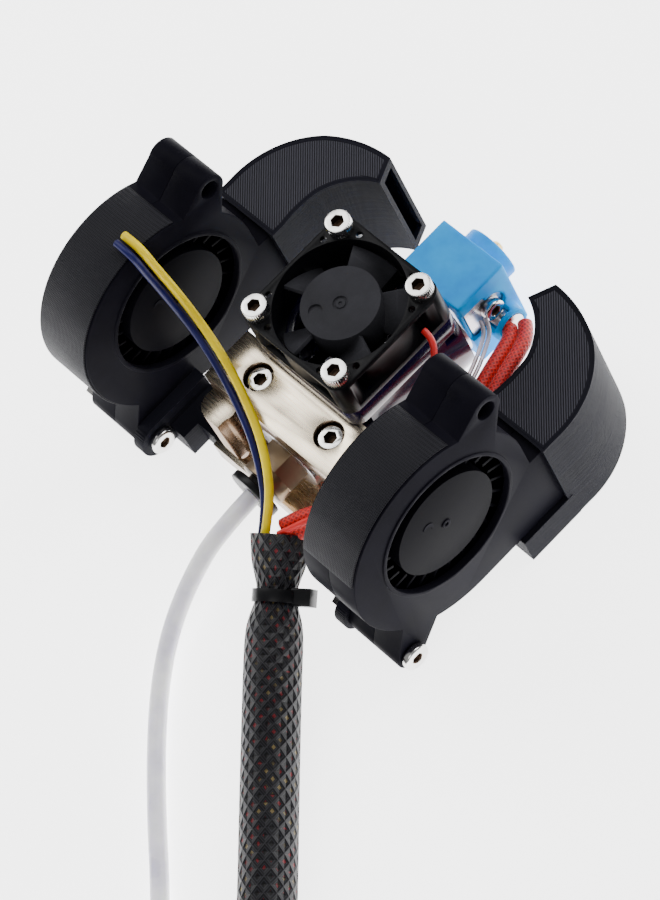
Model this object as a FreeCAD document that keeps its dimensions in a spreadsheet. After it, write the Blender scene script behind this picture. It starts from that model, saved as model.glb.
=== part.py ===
import FreeCAD, Part
import math
import os
import re
import Sketcher
from FreeCAD import Placement, Rotation, Vector

# Hotend assembly, lying on its back: +Z is up, away from the clamp's rear mounting face,
# +Y runs from the nozzle to the tube coupler, +X to the blower whose lead is seen.
# The origin is on the rear mounting face, in the middle of its four holes.

SIZES = {
    # heat-sink fan
    "fan_side": 30, "fan_depth": 10, "fan_rear": 32, "fan_bore": 14.2, "fan_pitch": 24,
    "fan_post": 3, "fan_flange": 1.2, "fan_hub": 8.4, "fan_hub_deep": 7.4, "fan_plate": 8,
    "fan_arm": 2, "web_hole": 0.75, "web_near": 7.9, "web_far": 13.2, "blade_tip": 13.7,
    "blade_wall": 0.8, "rotor_low": 34, "motor_shaft": 1, "bearing_outer": 2.5,
    # screws: M3
    "screw_hole": 1.65, "screw_shank": 1.5, "screw_head": 2.75, "screw_head_deep": 3,
    "screw_key": 1.44, "fan_screw_long": 15, "clamp_screw_long": 18,
    # filament path and heat sink
    "path_height": 14, "disc_radius": 8, "groove_radius": 6, "top_disc": 22.5, "groove_low": 16.5,
    "lower_disc": 13.5, "sink_top": 26.2, "fin_radius": 11, "fin_wall": 1, "fin_pitch": 2.7,
    "sink_core": 4.2, "sink_low": -16.5, "tube_bore": 2.1,
    # clamp
    "clamp_half": 20.5, "clamp_split": 21, "clamp_front": 27, "clamp_low": 13.5, "clamp_top": 26.3,
    "clamp_screw_x": 10.8, "clamp_screw_y": 19.5, "counterbore": 3.3, "counterbore_deep": 4,
    "back_wall": 5.9, "back_top": 33, "lobe_in": 13, "lobe_top": 32, "mount_x": 14,
    "mount_low": 16.25, "mount_pitch": 14, "mount_hole": 1.5, "side_screw_y": 26.8,
    # heater block, sock and nozzle
    "block_width": 16, "block_low": -30.2, "block_high": -18.7, "block_rear": 1.2,
    "block_front": 21.2, "sock_wall": 0.9, "cartridge_radius": 3, "cartridge_height": 7.4,
    "cartridge_long": 20, "nozzle_thread": 3, "sock_boss": 6.2,
    "clip_height": 13.2, "clip_low": -24.6, "cartridge_y": -25.6,
    # shroud
    "shroud_radius": 13, "shroud_bore": 11.15, "shroud_throat": 12.6, "shroud_step": 27.3,
    # coupler
    "hex_flats": 10, "hex_top": 31.2, "barrel_radius": 5.3, "barrel_top": 34, "collet_radius": 5.9,
    "collet_gap": 1.3, "collet_deep": 1.8, "collet_sleeve": 3.2, "tube_radius": 2,
    "tube_hole": 1,
    # blowers
    "blower_mid": 40.6, "blower_half": 7.5, "blower_wall": 1.3, "scroll_radius": 21.9,
    "scroll_step": 1.6, "scroll_y": 20.3, "scroll_z": 34.1, "outlet_end": -7, "outlet_tall": 19.7,
    "inlet_radius": 16, "ear_radius": 3.6, "ear_hole": 2.15, "ear_front_y": 1.1,
    "ear_front_z": 53.6, "ear_rear_y": 39.4, "ear_rear_z": 7.3, "impeller_y": 19.3,
    "impeller_z": 33.6, "impeller_hub": 12.2, "vane_in": 13.2, "vane_out": 18.6, "vane_wall": 0.7,
    "tape_wall": 0.4,
    # ducts
    "duct_front": 28.3, "duct_wall": 1.1, "duct_lip": 8, "slot_half": 1.9,
    # brackets
    "bracket_wall": 3, "bracket_lug": 4.6, "nut_deep": 2.4, "nut_radius": 3.2,
    # loom and coils
    "loom_radius": 6, "loom_ring": 50.5, "tube_ring": 20, "tie_wall": 1,
}

SEAM = 0.05          # running gap left between a fastener and its hole
DATUM = "mount_low + mount_pitch / 2"
PLUG_ANGLE = 218     # where the loom's plug lies on its coil, from the +Y side
FIN_COUNT = 11
BLADE_COUNT = 5
VANE_COUNT = 26
X_AXIS = Vector(1, 0, 0)
Y_AXIS = Vector(0, 1, 0)
Z_AXIS = Vector(0, 0, 1)

doc = FreeCAD.newDocument("hotend_assembly")
sheet = doc.addObject("Spreadsheet::Sheet", "sizes")
for line, (alias, value) in enumerate(SIZES.items(), 1):
    sheet.set("A%d" % line, alias)
    sheet.set("B%d" % line, str(value))
    sheet.setAlias("B%d" % line, alias)
doc.recompute()

NODES = []


def size(alias):
    """Value of one driving dimension, read back from the sheet."""
    return float(sheet.get(alias))


def formula(text):
    """Turn the words of a formula into references to the sheet."""
    words = "|".join(sorted(SIZES, key=len, reverse=True))
    return re.sub(r"\b(%s)\b" % words, r"sizes.\1", str(text))


def bind(item, **formulas):
    for name, text in formulas.items():
        item.setExpression(name.replace("__", "."), formula(text))


def place(item, at, axis=Z_AXIS):
    item.Placement = Placement(Vector(0, 0, 0), Rotation(Z_AXIS, axis))
    bind(item, Placement__Base__x=at[0], Placement__Base__y=at[1], Placement__Base__z=at[2])
    return item


def box(long, wide, tall, at):
    """A box from its lowest corner."""
    item = doc.addObject("Part::Box", "block")
    bind(item, Length=long, Width=wide, Height=tall)
    return place(item, at)


def span(x_range, y_range, z_range):
    """A box between a low and a high value on each axis."""
    lows = [low for low, high in (x_range, y_range, z_range)]
    sides = ["(%s) - (%s)" % (high, low) for low, high in (x_range, y_range, z_range)]
    return box(sides[0], sides[1], sides[2], lows)


def rod(radius, tall, at, axis=Z_AXIS):
    item = doc.addObject("Part::Cylinder", "rod")
    bind(item, Radius=radius, Height=tall)
    return place(item, at, axis)


def prism(flats_radius, tall, at, axis=Z_AXIS):
    """A hexagon bar, measured to its corners."""
    item = doc.addObject("Part::Prism", "prism")
    item.Polygon = 6
    bind(item, Circumradius=flats_radius, Height=tall)
    return place(item, at, axis)


def fuse(*items):
    item = doc.addObject("Part::MultiFuse", "joined")
    item.Shapes = list(items)
    item.Refine = True
    return item


def cut(base, *tools):
    item = doc.addObject("Part::Cut", "trimmed")
    item.Base = base
    item.Tool = tools[0] if len(tools) == 1 else fuse(*tools)
    item.Refine = True
    return item


def group(*items):
    item = doc.addObject("Part::Compound", "group")
    item.Links = list(items)
    return item


def node(item, label):
    """Name a finished sub-part, which is also its file's name, and give it its place.

    Heights and widths are already right; along Y the model is drawn from the fan's centre,
    and the frame starts at the middle of the mounting holes.
    """
    item.Label = label
    bound = {path.strip("."): text for path, text in item.ExpressionEngine}
    start = bound.get("Placement.Base.y", str(item.Placement.Base.y))
    item.setExpression("Placement.Base.y", "(%s) - (%s)" % (start, formula(DATUM)))
    NODES.append(item)
    return item


def solid_node(shape, label):
    """A sub-part whose shape is worked out from the sheet by code."""
    item = doc.addObject("Part::Feature", label)
    item.Shape = shape
    return node(item, label)


def cap_screw(at, axis, long, head="screw_head", head_deep="screw_head_deep"):
    """A socket cap screw: its head stands outwards from the point, its shank inwards."""
    shank = rod("screw_shank", long, (0, 0, "-(%s)" % long))
    body = fuse(rod(head, head_deep, (0, 0, 0)), shank)
    socket = prism("screw_key", "1.6", (0, 0, "%s - 1.5" % head_deep))
    return place(cut(body, socket), at, axis)


def hex_nut(at, axis):
    bore = rod("screw_shank + %s" % SEAM, "nut_deep + 2", (0, 0, -1))
    return place(cut(prism("nut_radius", "nut_deep", (0, 0, 0)), bore), at, axis)


# ---------------------------------------------------------------- PartDesign helpers

def new_body(label):
    body = doc.addObject("PartDesign::Body", label)
    doc.recompute()
    return body


def origin_plane(body, role):
    return next(item for item in body.Origin.OriginFeatures if item.Role == role)


def new_sketch(body, role="XY_Plane", offset=None):
    sketch = body.newObject("Sketcher::SketchObject", "outline")
    sketch.AttachmentSupport = [(origin_plane(body, role), "")]
    sketch.MapMode = "FlatFace"
    if offset is not None:
        sketch.setExpression("AttachmentOffset.Base.z", formula(offset))
    return sketch


def draw_circle(sketch, radius, x=0, y=0):
    """A circle held by its radius and by its centre's distances from the origin."""
    index = sketch.addGeometry(Part.Circle(Vector(1, 1, 0), Z_AXIS, 1))
    hold = sketch.addConstraint(Sketcher.Constraint("Radius", index, 1))
    sketch.setExpression("Constraints[%d]" % hold, formula(radius))
    for kind, value in (("DistanceX", x), ("DistanceY", y)):
        hold = sketch.addConstraint(Sketcher.Constraint(kind, -1, 1, index, 3, 1))
        sketch.setExpression("Constraints[%d]" % hold, formula(value))


def draw_rectangle(sketch, low_x, low_y, high_x, high_y):
    """Four level and upright lines, held by their corners' distances from the origin."""
    corners = [Vector(1, 1, 0), Vector(3, 1, 0), Vector(3, 2, 0), Vector(1, 2, 0)]
    first = None
    for step in range(4):
        start, end = corners[step], corners[(step + 1) % 4]
        index = sketch.addGeometry(Part.LineSegment(start, end))
        first = index if first is None else first
        sketch.addConstraint(Sketcher.Constraint("Vertical" if step % 2 else "Horizontal", index))
    for step in range(4):
        following = first + (step + 1) % 4
        sketch.addConstraint(Sketcher.Constraint("Coincident", first + step, 2, following, 1))
    for kind, value, line_no in (("DistanceX", low_x, first), ("DistanceY", low_y, first),
                                 ("DistanceX", high_x, first + 2),
                                 ("DistanceY", high_y, first + 2)):
        hold = sketch.addConstraint(Sketcher.Constraint(kind, -1, 1, line_no, 1, 1))
        sketch.setExpression("Constraints[%d]" % hold, formula(value))


def pad(body, sketch, long, reverse=False):
    item = body.newObject("PartDesign::Pad", "pad")
    item.Profile = sketch
    item.Reversed = reverse
    item.setExpression("Length", formula(long))
    doc.recompute()
    return item


def pocket(body, sketch, deep, reverse=False):
    """A pocket, checked to have removed something."""
    before = body.Shape.Volume
    item = body.newObject("PartDesign::Pocket", "pocket")
    item.Profile = sketch
    item.Reversed = reverse
    item.setExpression("Length", formula(deep))
    doc.recompute()
    if body.Shape.Volume > before - 0.01:
        raise RuntimeError("%s: a pocket cuts nothing" % body.Label)
    return item


def polar(body, feature, count):
    pattern = body.newObject("PartDesign::PolarPattern", "around")
    pattern.Originals = [feature]
    pattern.Axis = (origin_plane(body, "Z_Axis"), [""])
    pattern.Angle = 360
    pattern.Occurrences = count
    body.Tip = pattern
    doc.recompute()
    return pattern


def turned(label, outline, at, axis=Y_AXIS):
    """A body of revolution: outline is (radius, height) pairs, turned about the local Z axis."""
    body = new_body(label)
    sketch = new_sketch(body, "XZ_Plane")
    points = [Vector(1 + step, 2 * step + 1, 0) for step in range(len(outline))]
    count = len(outline)
    for step in range(count):
        sketch.addGeometry(Part.LineSegment(points[step], points[(step + 1) % count]))
    for step in range(count):
        sketch.addConstraint(Sketcher.Constraint("Coincident", step, 2, (step + 1) % count, 1))
    for step, (radius, height) in enumerate(outline):
        for kind, value in (("DistanceX", radius), ("DistanceY", height)):
            hold = sketch.addConstraint(Sketcher.Constraint(kind, -1, 1, step, 1, 1))
            sketch.setExpression("Constraints[%d]" % hold, formula(value))
    item = body.newObject("PartDesign::Revolution", "turned")
    item.Profile = sketch
    item.ReferenceAxis = (sketch, ["V_Axis"])
    item.Angle = 360
    doc.recompute()
    return node(place(body, at, axis), label)


# ---------------------------------------------------------------- heat-sink fan

def make_fan():
    frame = new_body("fan_frame")
    flange = new_sketch(frame, offset="fan_rear")
    draw_rectangle(flange, "-fan_side / 2", "-fan_pitch / 2", "fan_side / 2", "fan_pitch / 2")
    pad(frame, flange, "fan_depth")
    across = new_sketch(frame, offset="fan_rear")
    draw_rectangle(across, "-fan_pitch / 2", "-fan_side / 2", "fan_pitch / 2", "fan_side / 2")
    pad(frame, across, "fan_depth")
    # between the two flanges the wall is round; the posts make the flanges' round corners
    waist = new_sketch(frame, offset="fan_rear + fan_flange")
    draw_rectangle(waist, "-fan_side / 2 - 1", "-fan_side / 2 - 1", "fan_side / 2 + 1",
                   "fan_side / 2 + 1")
    draw_circle(waist, "fan_side / 2 - 0.05")
    pocket(frame, waist, "fan_depth - 2 * fan_flange", reverse=True)
    post = new_sketch(frame, offset="fan_rear")
    draw_circle(post, "fan_post", "fan_pitch / 2", "fan_pitch / 2")
    polar(frame, pad(frame, post, "fan_depth"), 4)
    bore = new_sketch(frame, offset="fan_rear")
    draw_circle(bore, "fan_bore")
    pocket(frame, bore, "fan_depth", reverse=True)
    holes = new_sketch(frame, offset="fan_rear")
    draw_circle(holes, "screw_hole", "fan_pitch / 2", "fan_pitch / 2")
    draw_circle(holes, "web_hole", "web_near", "web_far")
    draw_circle(holes, "web_hole", "web_far", "web_near")
    polar(frame, pocket(frame, holes, "fan_depth", reverse=True), 4)
    plate = new_sketch(frame, offset="fan_rear")
    draw_circle(plate, "fan_plate")
    draw_circle(plate, "bearing_outer + %s" % SEAM)
    pad(frame, plate, "fan_flange")
    arm = new_sketch(frame, offset="fan_rear")
    draw_rectangle(arm, "fan_plate - 0.5", "-fan_arm / 2", "fan_bore + 0.3", "fan_arm / 2")
    polar(frame, pad(frame, arm, "fan_flange"), 4)
    node(frame, "fan_frame")

    stator = rod("fan_hub - 2.2", "3.6", (0, 0, "rotor_low + 0.6"))
    node(cut(stator, rod("bearing_outer + %s" % SEAM, "6", (0, 0, "rotor_low"))), "fan_stator")
    bearing = rod("bearing_outer", "6", (0, 0, "fan_rear + 0.3"))
    node(cut(bearing, rod("motor_shaft + %s" % SEAM, "8", (0, 0, "fan_rear"))), "fan_bearing")
    node(rod("motor_shaft", "7.7", (0, 0, "fan_rear + 1")), "fan_shaft")
    node(make_rotor(), "fan_rotor")

    long = "fan_screw_long"
    top = "fan_rear + fan_depth"
    corners = [(x, y) for x in ("fan_pitch / 2", "-fan_pitch / 2")
               for y in ("fan_pitch / 2", "-fan_pitch / 2")]
    node(group(*[cap_screw((x, y, top), Z_AXIS, long) for x, y in corners]), "fan_screws")


def make_rotor():
    """A cup-shaped hub with broad twisted blades that stay clear of the frame's bore."""
    low = size("rotor_low")
    cup = Part.makeCylinder(size("fan_hub"), size("fan_hub_deep"), Vector(0, 0, low + 0.2))
    inside = Part.makeCylinder(size("fan_hub") - 1, size("fan_hub_deep") - 1, Vector(0, 0, low))
    crown = Part.makeCylinder(1.6, 0.5, Vector(0, 0, low + size("fan_hub_deep") - 0.2))
    seat = Part.makeCylinder(size("motor_shaft"), 7.7, Vector(0, 0, size("fan_rear") + 1))
    rotor = cup.cut(inside).cut(crown).cut(seat)
    middle = low + size("fan_hub_deep") / 2
    for turn in range(BLADE_COUNT):
        sections = []
        for radius, half, pitch in ((size("fan_hub") - 0.4, 4.1, 46), (11, 4.7, 36),
                                    (size("blade_tip"), 5.2, 28)):
            sections.append(blade_section(radius, half, pitch, middle))
        blade = Part.makeLoft(sections, True, True)
        blade.rotate(Vector(0, 0, 0), Z_AXIS, turn * 360 / BLADE_COUNT)
        rotor = rotor.fuse(blade)
    rotor = rotor.common(Part.makeCylinder(size("blade_tip"), 20, Vector(0, 0, low)))
    item = doc.addObject("Part::Feature", "fan_rotor")
    item.Shape = rotor
    return item


def blade_section(radius, half_chord, pitch, middle):
    """A thin upright rectangle across the blade at one radius, tilted by its pitch."""
    along = Vector(0, math.cos(math.radians(pitch)), math.sin(math.radians(pitch)))
    across = Vector(0, -along.z, along.y) * (size("blade_wall") / 2)
    centre = Vector(radius, 0, middle)
    reach = along * half_chord
    corners = [centre - reach - across, centre + reach - across, centre + reach + across,
               centre - reach + across]
    return Part.makePolygon(corners + corners[:1])


# ---------------------------------------------------------------- shroud

def make_shroud():
    half = "fan_side / 2"
    corner = "fan_pitch / 2"
    deep = ("shroud_step", "fan_rear")
    head = fuse(span(("-%s" % half, half), ("-%s" % corner, corner), deep),
                span(("-%s" % corner, corner), ("-%s" % half, half), deep),
                *[rod("fan_post", "fan_rear - shroud_step", (x, y, "shroud_step"))
                  for x in (corner, "-" + corner) for y in (corner, "-" + corner)])
    cheeks = span(("-shroud_radius", "shroud_radius"), ("-%s" % half, "clamp_low - 0.2"),
                  ("path_height", "shroud_step"))
    wrap = rod("shroud_radius", "clamp_low - 0.2 + %s" % half, (0, "-" + half, "path_height"),
               Y_AXIS)
    sink_space = rod("shroud_bore", "fan_side + 4", (0, "-%s - 1" % half, "path_height"), Y_AXIS)
    throat = rod("shroud_throat", "fan_side", (0, 0, "path_height + 5"))
    rear_slot = span((-8, 8), ("-20", "20"), ("-2", "path_height - 7"))
    posts = [rod("screw_hole", 12, (x, y, "fan_rear - 10")) for x in ("fan_pitch / 2",
             "-fan_pitch / 2") for y in ("fan_pitch / 2", "-fan_pitch / 2")]
    wall = fuse(head, cheeks, wrap)
    node(cut(wall, sink_space, throat, rear_slot, *posts), "fan_shroud")


# ---------------------------------------------------------------- clamp

def make_clamp():
    plate = new_body("clamp_front_plate")
    outline = new_sketch(plate, offset="clamp_split")
    draw_rectangle(outline, "-clamp_half", "clamp_low", "clamp_half", "clamp_top")
    pad(plate, outline, "clamp_front - clamp_split")
    saddle = new_sketch(plate, offset="clamp_split")
    draw_rectangle(saddle, "-groove_radius + 0.2", "groove_low + 0.1", "groove_radius - 0.2",
                   "top_disc - 0.1")
    pad(plate, saddle, "3.5", reverse=True)
    wells = new_sketch(plate, offset="clamp_front")
    draw_circle(wells, "counterbore", "clamp_screw_x", "clamp_screw_y")
    draw_circle(wells, "counterbore", "-clamp_screw_x", "clamp_screw_y")
    pocket(plate, wells, "counterbore_deep")
    holes = new_sketch(plate, offset="clamp_front")
    draw_circle(holes, "screw_hole", "clamp_screw_x", "clamp_screw_y")
    draw_circle(holes, "screw_hole", "-clamp_screw_x", "clamp_screw_y")
    pocket(plate, holes, "clamp_front - clamp_split + 1")
    reliefs = new_sketch(plate, "XZ_Plane", offset="-top_disc + 0.05")
    draw_circle(reliefs, "disc_radius + %s" % SEAM, 0, "path_height")
    pocket(plate, reliefs, "8")
    lower = new_sketch(plate, "XZ_Plane", offset="-clamp_low + 1")
    draw_circle(lower, "disc_radius + %s" % SEAM, 0, "path_height")
    pocket(plate, lower, "groove_low - clamp_low + 1.05")
    neck = new_sketch(plate, "XZ_Plane", offset="-clamp_low + 1")
    draw_circle(neck, "groove_radius + %s" % SEAM, 0, "path_height")
    pocket(plate, neck, "14")
    node(plate, "clamp_front_plate")

    wide = ("-clamp_half", "clamp_half")
    wall = span(wide, ("clamp_low", "back_top"), (0, "back_wall"))
    flange = span(wide, ("clamp_low", "top_disc - %s" % SEAM), (0, "clamp_split"))
    lobe = fuse(span(("lobe_in", "clamp_half"), ("clamp_low", "lobe_top - 4"),
                     (0, "clamp_split")),
                rod("4", "clamp_split", ("clamp_half - 4", "lobe_top - 4", 0)),
                span(("lobe_in", "clamp_half - 4"), ("clamp_low", "lobe_top"),
                     (0, "clamp_split")))
    fit = "%s + %s"
    seats = [rod(fit % (radius, SEAM), long, (0, start, "path_height"), Y_AXIS)
             for radius, start, long in (("groove_radius", "clamp_low - 1", "14"),
                                         ("disc_radius", "clamp_low - 1",
                                          "groove_low - clamp_low + 1.05"))]
    slots = [span(("-%s - %s" % (radius, SEAM), fit % (radius, SEAM)), (low, high),
                  ("path_height", "clamp_split + 1"))
             for radius, low, high in (("groove_radius", "clamp_low - 1", "clamp_top + 1"),
                                       ("disc_radius", "clamp_low - 1",
                                        "groove_low + %s" % SEAM))]
    taps = [rod("screw_hole", 16, (x, "clamp_screw_y", "clamp_split - 15"))
            for x in ("clamp_screw_x", "-clamp_screw_x")]
    mounts = [rod("mount_hole", "back_wall + 1", (x, y, "-0.5"))
              for x in ("mount_x", "-mount_x")
              for y in ("mount_low", "mount_low + mount_pitch")]
    sides = [rod("screw_hole", 8, (x, "side_screw_y", "back_wall / 2"), X_AXIS)
             for x in ("clamp_half - 7", "-clamp_half - 1")]
    node(cut(fuse(wall, flange, lobe), *(seats + slots + taps + mounts + sides)),
         "clamp_rear_body")
    deep = "clamp_front - counterbore_deep"
    screws = [cap_screw((x, "clamp_screw_y", deep), Z_AXIS, "clamp_screw_long - 5")
              for x in ("clamp_screw_x", "-clamp_screw_x")]
    node(group(*screws), "clamp_screws")


# ---------------------------------------------------------------- heat sink and hot end

def make_filament_path():
    height = "path_height"
    discs = [("disc_radius", "top_disc", "sink_top - top_disc"),
             ("groove_radius", "groove_low", "top_disc - groove_low"),
             ("disc_radius", "lower_disc", "groove_low - lower_disc"),
             ("sink_core", "sink_low", "lower_disc - sink_low")]
    pieces = [rod(radius, long, (0, start, height), Y_AXIS) for radius, start, long in discs]
    for step in range(FIN_COUNT):
        start = "sink_low + %d * fin_pitch" % step
        pieces.append(rod("fin_radius", "fin_wall", (0, start, height), Y_AXIS))
    thread = rod("3.6", "5.2", (0, "sink_top - 5.1", height), Y_AXIS)
    lower = rod("3.05", "12.1", (0, "sink_low - 0.1", height), Y_AXIS)
    bore = rod("tube_bore", "60", (0, "sink_low - 5", height), Y_AXIS)
    node(cut(fuse(*pieces), thread, lower, bore), "heat_sink")

    turned("heat_break", [("tube_bore", "-4"), ("nozzle_thread", "-4"), ("nozzle_thread", 0),
                          (2.6, 0), (2.6, "sink_low - block_high"),
                          (3, "sink_low - block_high"), (3, "sink_low - block_high + 11.5"),
                          ("tube_bore", "sink_low - block_high + 11.5")],
           (0, "block_high", height))
    turned("nozzle", [(0.3, "block_low - 5.8 - block_low"), (1, -5.8), (3, -3.4), (3.4, -3.4),
                      (3.4, -0.5), (3, -0.5), (3, 6.9), (1, 6.9), (1, -4.6), (0.3, -5)],
           (0, "block_low", height))
    half = "block_width / 2"
    block = span(("-" + half, half), ("block_low", "block_high"), ("block_rear", "block_front"))
    holes = [rod("3.05", 14, (0, "block_low - 1", height), Y_AXIS),
             rod("cartridge_radius + %s" % SEAM, 20, (-10, "cartridge_y", "cartridge_height"), X_AXIS),
             rod("screw_hole", 4, ("-%s - 1" % half, "clip_low", "clip_height"), X_AXIS),
             rod("screw_shank + %s" % SEAM, 4, (4, "cartridge_y", -0.5)),
             span(("-" + half + " - 1", half + " + 1"), ("cartridge_y - 0.4", "cartridge_y + 0.4"),
                  ("block_rear - 1", "cartridge_height"))]
    node(cut(block, *holes), "heater_block")
    node(rod("cartridge_radius", "cartridge_long", ("-cartridge_long + 7.9", "cartridge_y",
                                                    "cartridge_height"), X_AXIS),
         "heater_cartridge")
    clip = cap_screw(("-%s" % half, "clip_low", "clip_height"), Vector(-1, 0, 0), "2.5",
                     "2.6", "2.2")
    node(clip, "thermistor_screw")
    make_sock()


def make_sock():
    wall = "sock_wall"
    gap = SEAM
    half = "block_width / 2"
    outer = span(("-%s - %s" % (half, wall), "%s + %s" % (half, wall)),
                 ("block_low - %s" % wall, "block_high + %s" % wall),
                 ("block_rear - %s" % wall, "block_front + %s" % wall))
    room = span(("-%s - %s" % (half, gap), "%s + %s" % (half, gap)),
                ("block_low - %s" % gap, "block_high + %s" % gap),
                ("block_rear - %s" % gap, "block_front + %s" % gap))
    boss = rod("sock_boss", 3.4, (0, "block_low - %s - 3.3" % wall, "path_height"), Y_AXIS)
    sleeve = rod("cartridge_radius + 1.1", 3.4, ("-%s - %s - 3.3" % (half, wall), "cartridge_y",
                                                 "cartridge_height"), X_AXIS)
    # the top is open round the heat break, the side where the wires leave is open too
    openings = [span(("-%s + 2" % half, "%s - 2" % half), ("block_high - 1", "block_high + 3"),
                     ("block_rear + 3", "block_front - 3")),
                span(("-%s - 3" % half, "-%s + 0.1" % half), (-23.9, "block_high + 3"),
                     ("cartridge_height + 1.5", "block_front - 3")),
                rod("3.6", 4, ("-%s - 3" % half, "clip_low", "clip_height"), X_AXIS),
                rod("4.4", 8, (0, "block_low - 7", "path_height"), Y_AXIS),
                rod("cartridge_radius + %s" % gap, 20, (-16, "cartridge_y", "cartridge_height"),
                    X_AXIS)]
    node(cut(fuse(outer, boss, sleeve), room, *openings), "silicone_sock")


# ---------------------------------------------------------------- coupler

def make_coupler():
    height = "path_height"
    grip = prism("hex_flats / 2 / cos(30)", "hex_top - sink_top", (0, "sink_top", height), Y_AXIS)
    barrel = rod("barrel_radius", "barrel_top - hex_top", (0, "hex_top", height), Y_AXIS)
    stub = rod("3.55", "5", (0, "sink_top - 5", height), Y_AXIS)
    through = rod("tube_bore", 30, (0, "sink_top - 8", height), Y_AXIS)
    well = rod("collet_sleeve + %s" % SEAM, 20, (0, "sink_top + 1", height), Y_AXIS)
    node(cut(fuse(grip, barrel, stub), through, well), "coupler_body")
    start = "barrel_top + collet_gap"
    ring = rod("collet_radius", "collet_deep", (0, start, height), Y_AXIS)
    sleeve = rod("collet_sleeve", "5", (0, start + " - 5", height), Y_AXIS)
    bore = rod("tube_radius + %s" % SEAM, 20, (0, start + " - 8", height), Y_AXIS)
    node(cut(fuse(ring, sleeve), bore), "coupler_collet")
    seal = rod("collet_sleeve", "1.4", (0, "sink_top + 1.05", height), Y_AXIS)
    node(cut(seal, rod("tube_radius + %s" % SEAM, 4, (0, "sink_top", height), Y_AXIS)),
         "coupler_seal")


# ---------------------------------------------------------------- blowers

def scroll_arcs(inset):
    """Three quarter turns of a scroll, each a step larger than the last, then the outlet."""
    step = size("scroll_step")
    radii = [size("scroll_radius") + step * count - inset for count in range(3)]
    first = Vector(0, size("scroll_y"), size("scroll_z"))
    second = first - Vector(0, 0, step)
    third = second - Vector(0, step, 0)
    centres = [first, second, third]
    arcs = []
    for count in range(3):
        arcs.append(arc_about(centres[count], radii[count], 180 - 90 * count, 90 - 90 * count))
    return arcs, third.z - radii[2]


def arc_about(centre, radius, start, end):
    """An arc in the YZ plane between two angles measured from +Y towards +Z."""
    points = [centre + Vector(0, math.cos(math.radians(angle)), math.sin(math.radians(angle)))
              * radius for angle in (start, (start + end) / 2, end)]
    return Part.Arc(*points).toShape()


def scroll_face(inset, outlet_reach=0):
    arcs, floor = scroll_arcs(inset)
    start = arcs[0].Vertexes[0].Point
    end = arcs[-1].Vertexes[-1].Point
    top = floor + size("outlet_tall") - 2 * inset
    outlet = size("outlet_end") - outlet_reach
    corners = [end, Vector(0, outlet, floor), Vector(0, outlet, top), Vector(0, start.y, top),
               start]
    runs = [Part.LineSegment(corners[count], corners[count + 1]).toShape()
            for count in range(len(corners) - 1)]
    return Part.Face(Part.Wire(arcs + runs))


def ear_solid(centre, target, low_x, long):
    """A round boss joined to the scroll by a straight web."""
    radius = size("ear_radius")
    boss = Part.makeCylinder(radius, long, Vector(low_x, centre.y, centre.z), X_AXIS)
    reach = target - centre
    side = Vector(0, -reach.z, reach.y).normalize() * radius
    corners = [centre + side, centre - side, target - side * 1.6, target + side * 1.6]
    web = Part.Face(Part.makePolygon(corners + corners[:1])).extrude(Vector(long, 0, 0))
    web.translate(Vector(low_x, 0, 0))
    return boss.fuse(web)


def blower_half(mid, low_x, plate_x):
    """One moulded half of the housing; plate_x is where its closed side starts."""
    long = size("blower_half")
    wall = size("blower_wall")
    outer = scroll_face(0).extrude(Vector(long, 0, 0))
    outer.translate(Vector(low_x, 0, 0))
    centre = Vector(0, size("impeller_y"), size("impeller_z"))
    for name in ("front", "rear"):
        ear = Vector(0, size("ear_%s_y" % name), size("ear_%s_z" % name))
        target = centre + (ear - centre).normalize() * (size("scroll_radius") - 2)
        outer = outer.fuse(ear_solid(ear, target, low_x, long))
    inner = scroll_face(wall, 5).extrude(Vector(long - wall, 0, 0))
    inner.translate(Vector(low_x if plate_x > low_x else low_x + wall, 0, 0))
    shell = outer.cut(inner)
    for name in ("front", "rear"):
        bore = Part.makeCylinder(size("ear_hole"), long + 2,
                                 Vector(low_x - 1, size("ear_%s_y" % name),
                                        size("ear_%s_z" % name)), X_AXIS)
        shell = shell.cut(bore)
    return shell.removeSplitter()


def make_blower(side, word):
    mid = side * size("blower_mid")
    half = size("blower_half")
    wall = size("blower_wall")
    hub = Vector(mid, size("impeller_y"), size("impeller_z"))
    name = "blower_%s_" % word

    def about(radius, low, long):
        return Part.makeCylinder(radius, long, hub + Vector(low, 0, 0), X_AXIS)

    # the half with the inlet faces -X on both blowers, which are the same moulding
    cover = blower_half(mid, mid - half, mid - half)
    ring = about(size("inlet_radius") + 0.9, -half - 0.4, 1)
    cover = cover.fuse(ring).cut(about(size("inlet_radius"), -half - 1, 4))
    solid_node(cover, name + "cover")
    post = about(size("bearing_outer") + 0.9, -3, half - wall + 3.2)
    housing = blower_half(mid, mid, mid + half).fuse(post)
    housing = housing.cut(about(size("bearing_outer") + SEAM, -3.5, half - wall + 3.4))
    solid_node(housing, name + "housing")
    solid_node(make_impeller(about), name + "impeller")
    outer = size("impeller_hub") - 2.2
    stator = about(outer, -5.4, 6.4).cut(about(size("bearing_outer") + 1, -6, 8))
    solid_node(stator, name + "stator")
    bearing = about(size("bearing_outer"), -3, 8).cut(about(size("motor_shaft") + SEAM, -4, 12))
    solid_node(bearing, name + "bearing")
    solid_node(about(size("motor_shaft"), -6, 11), name + "shaft")


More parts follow.
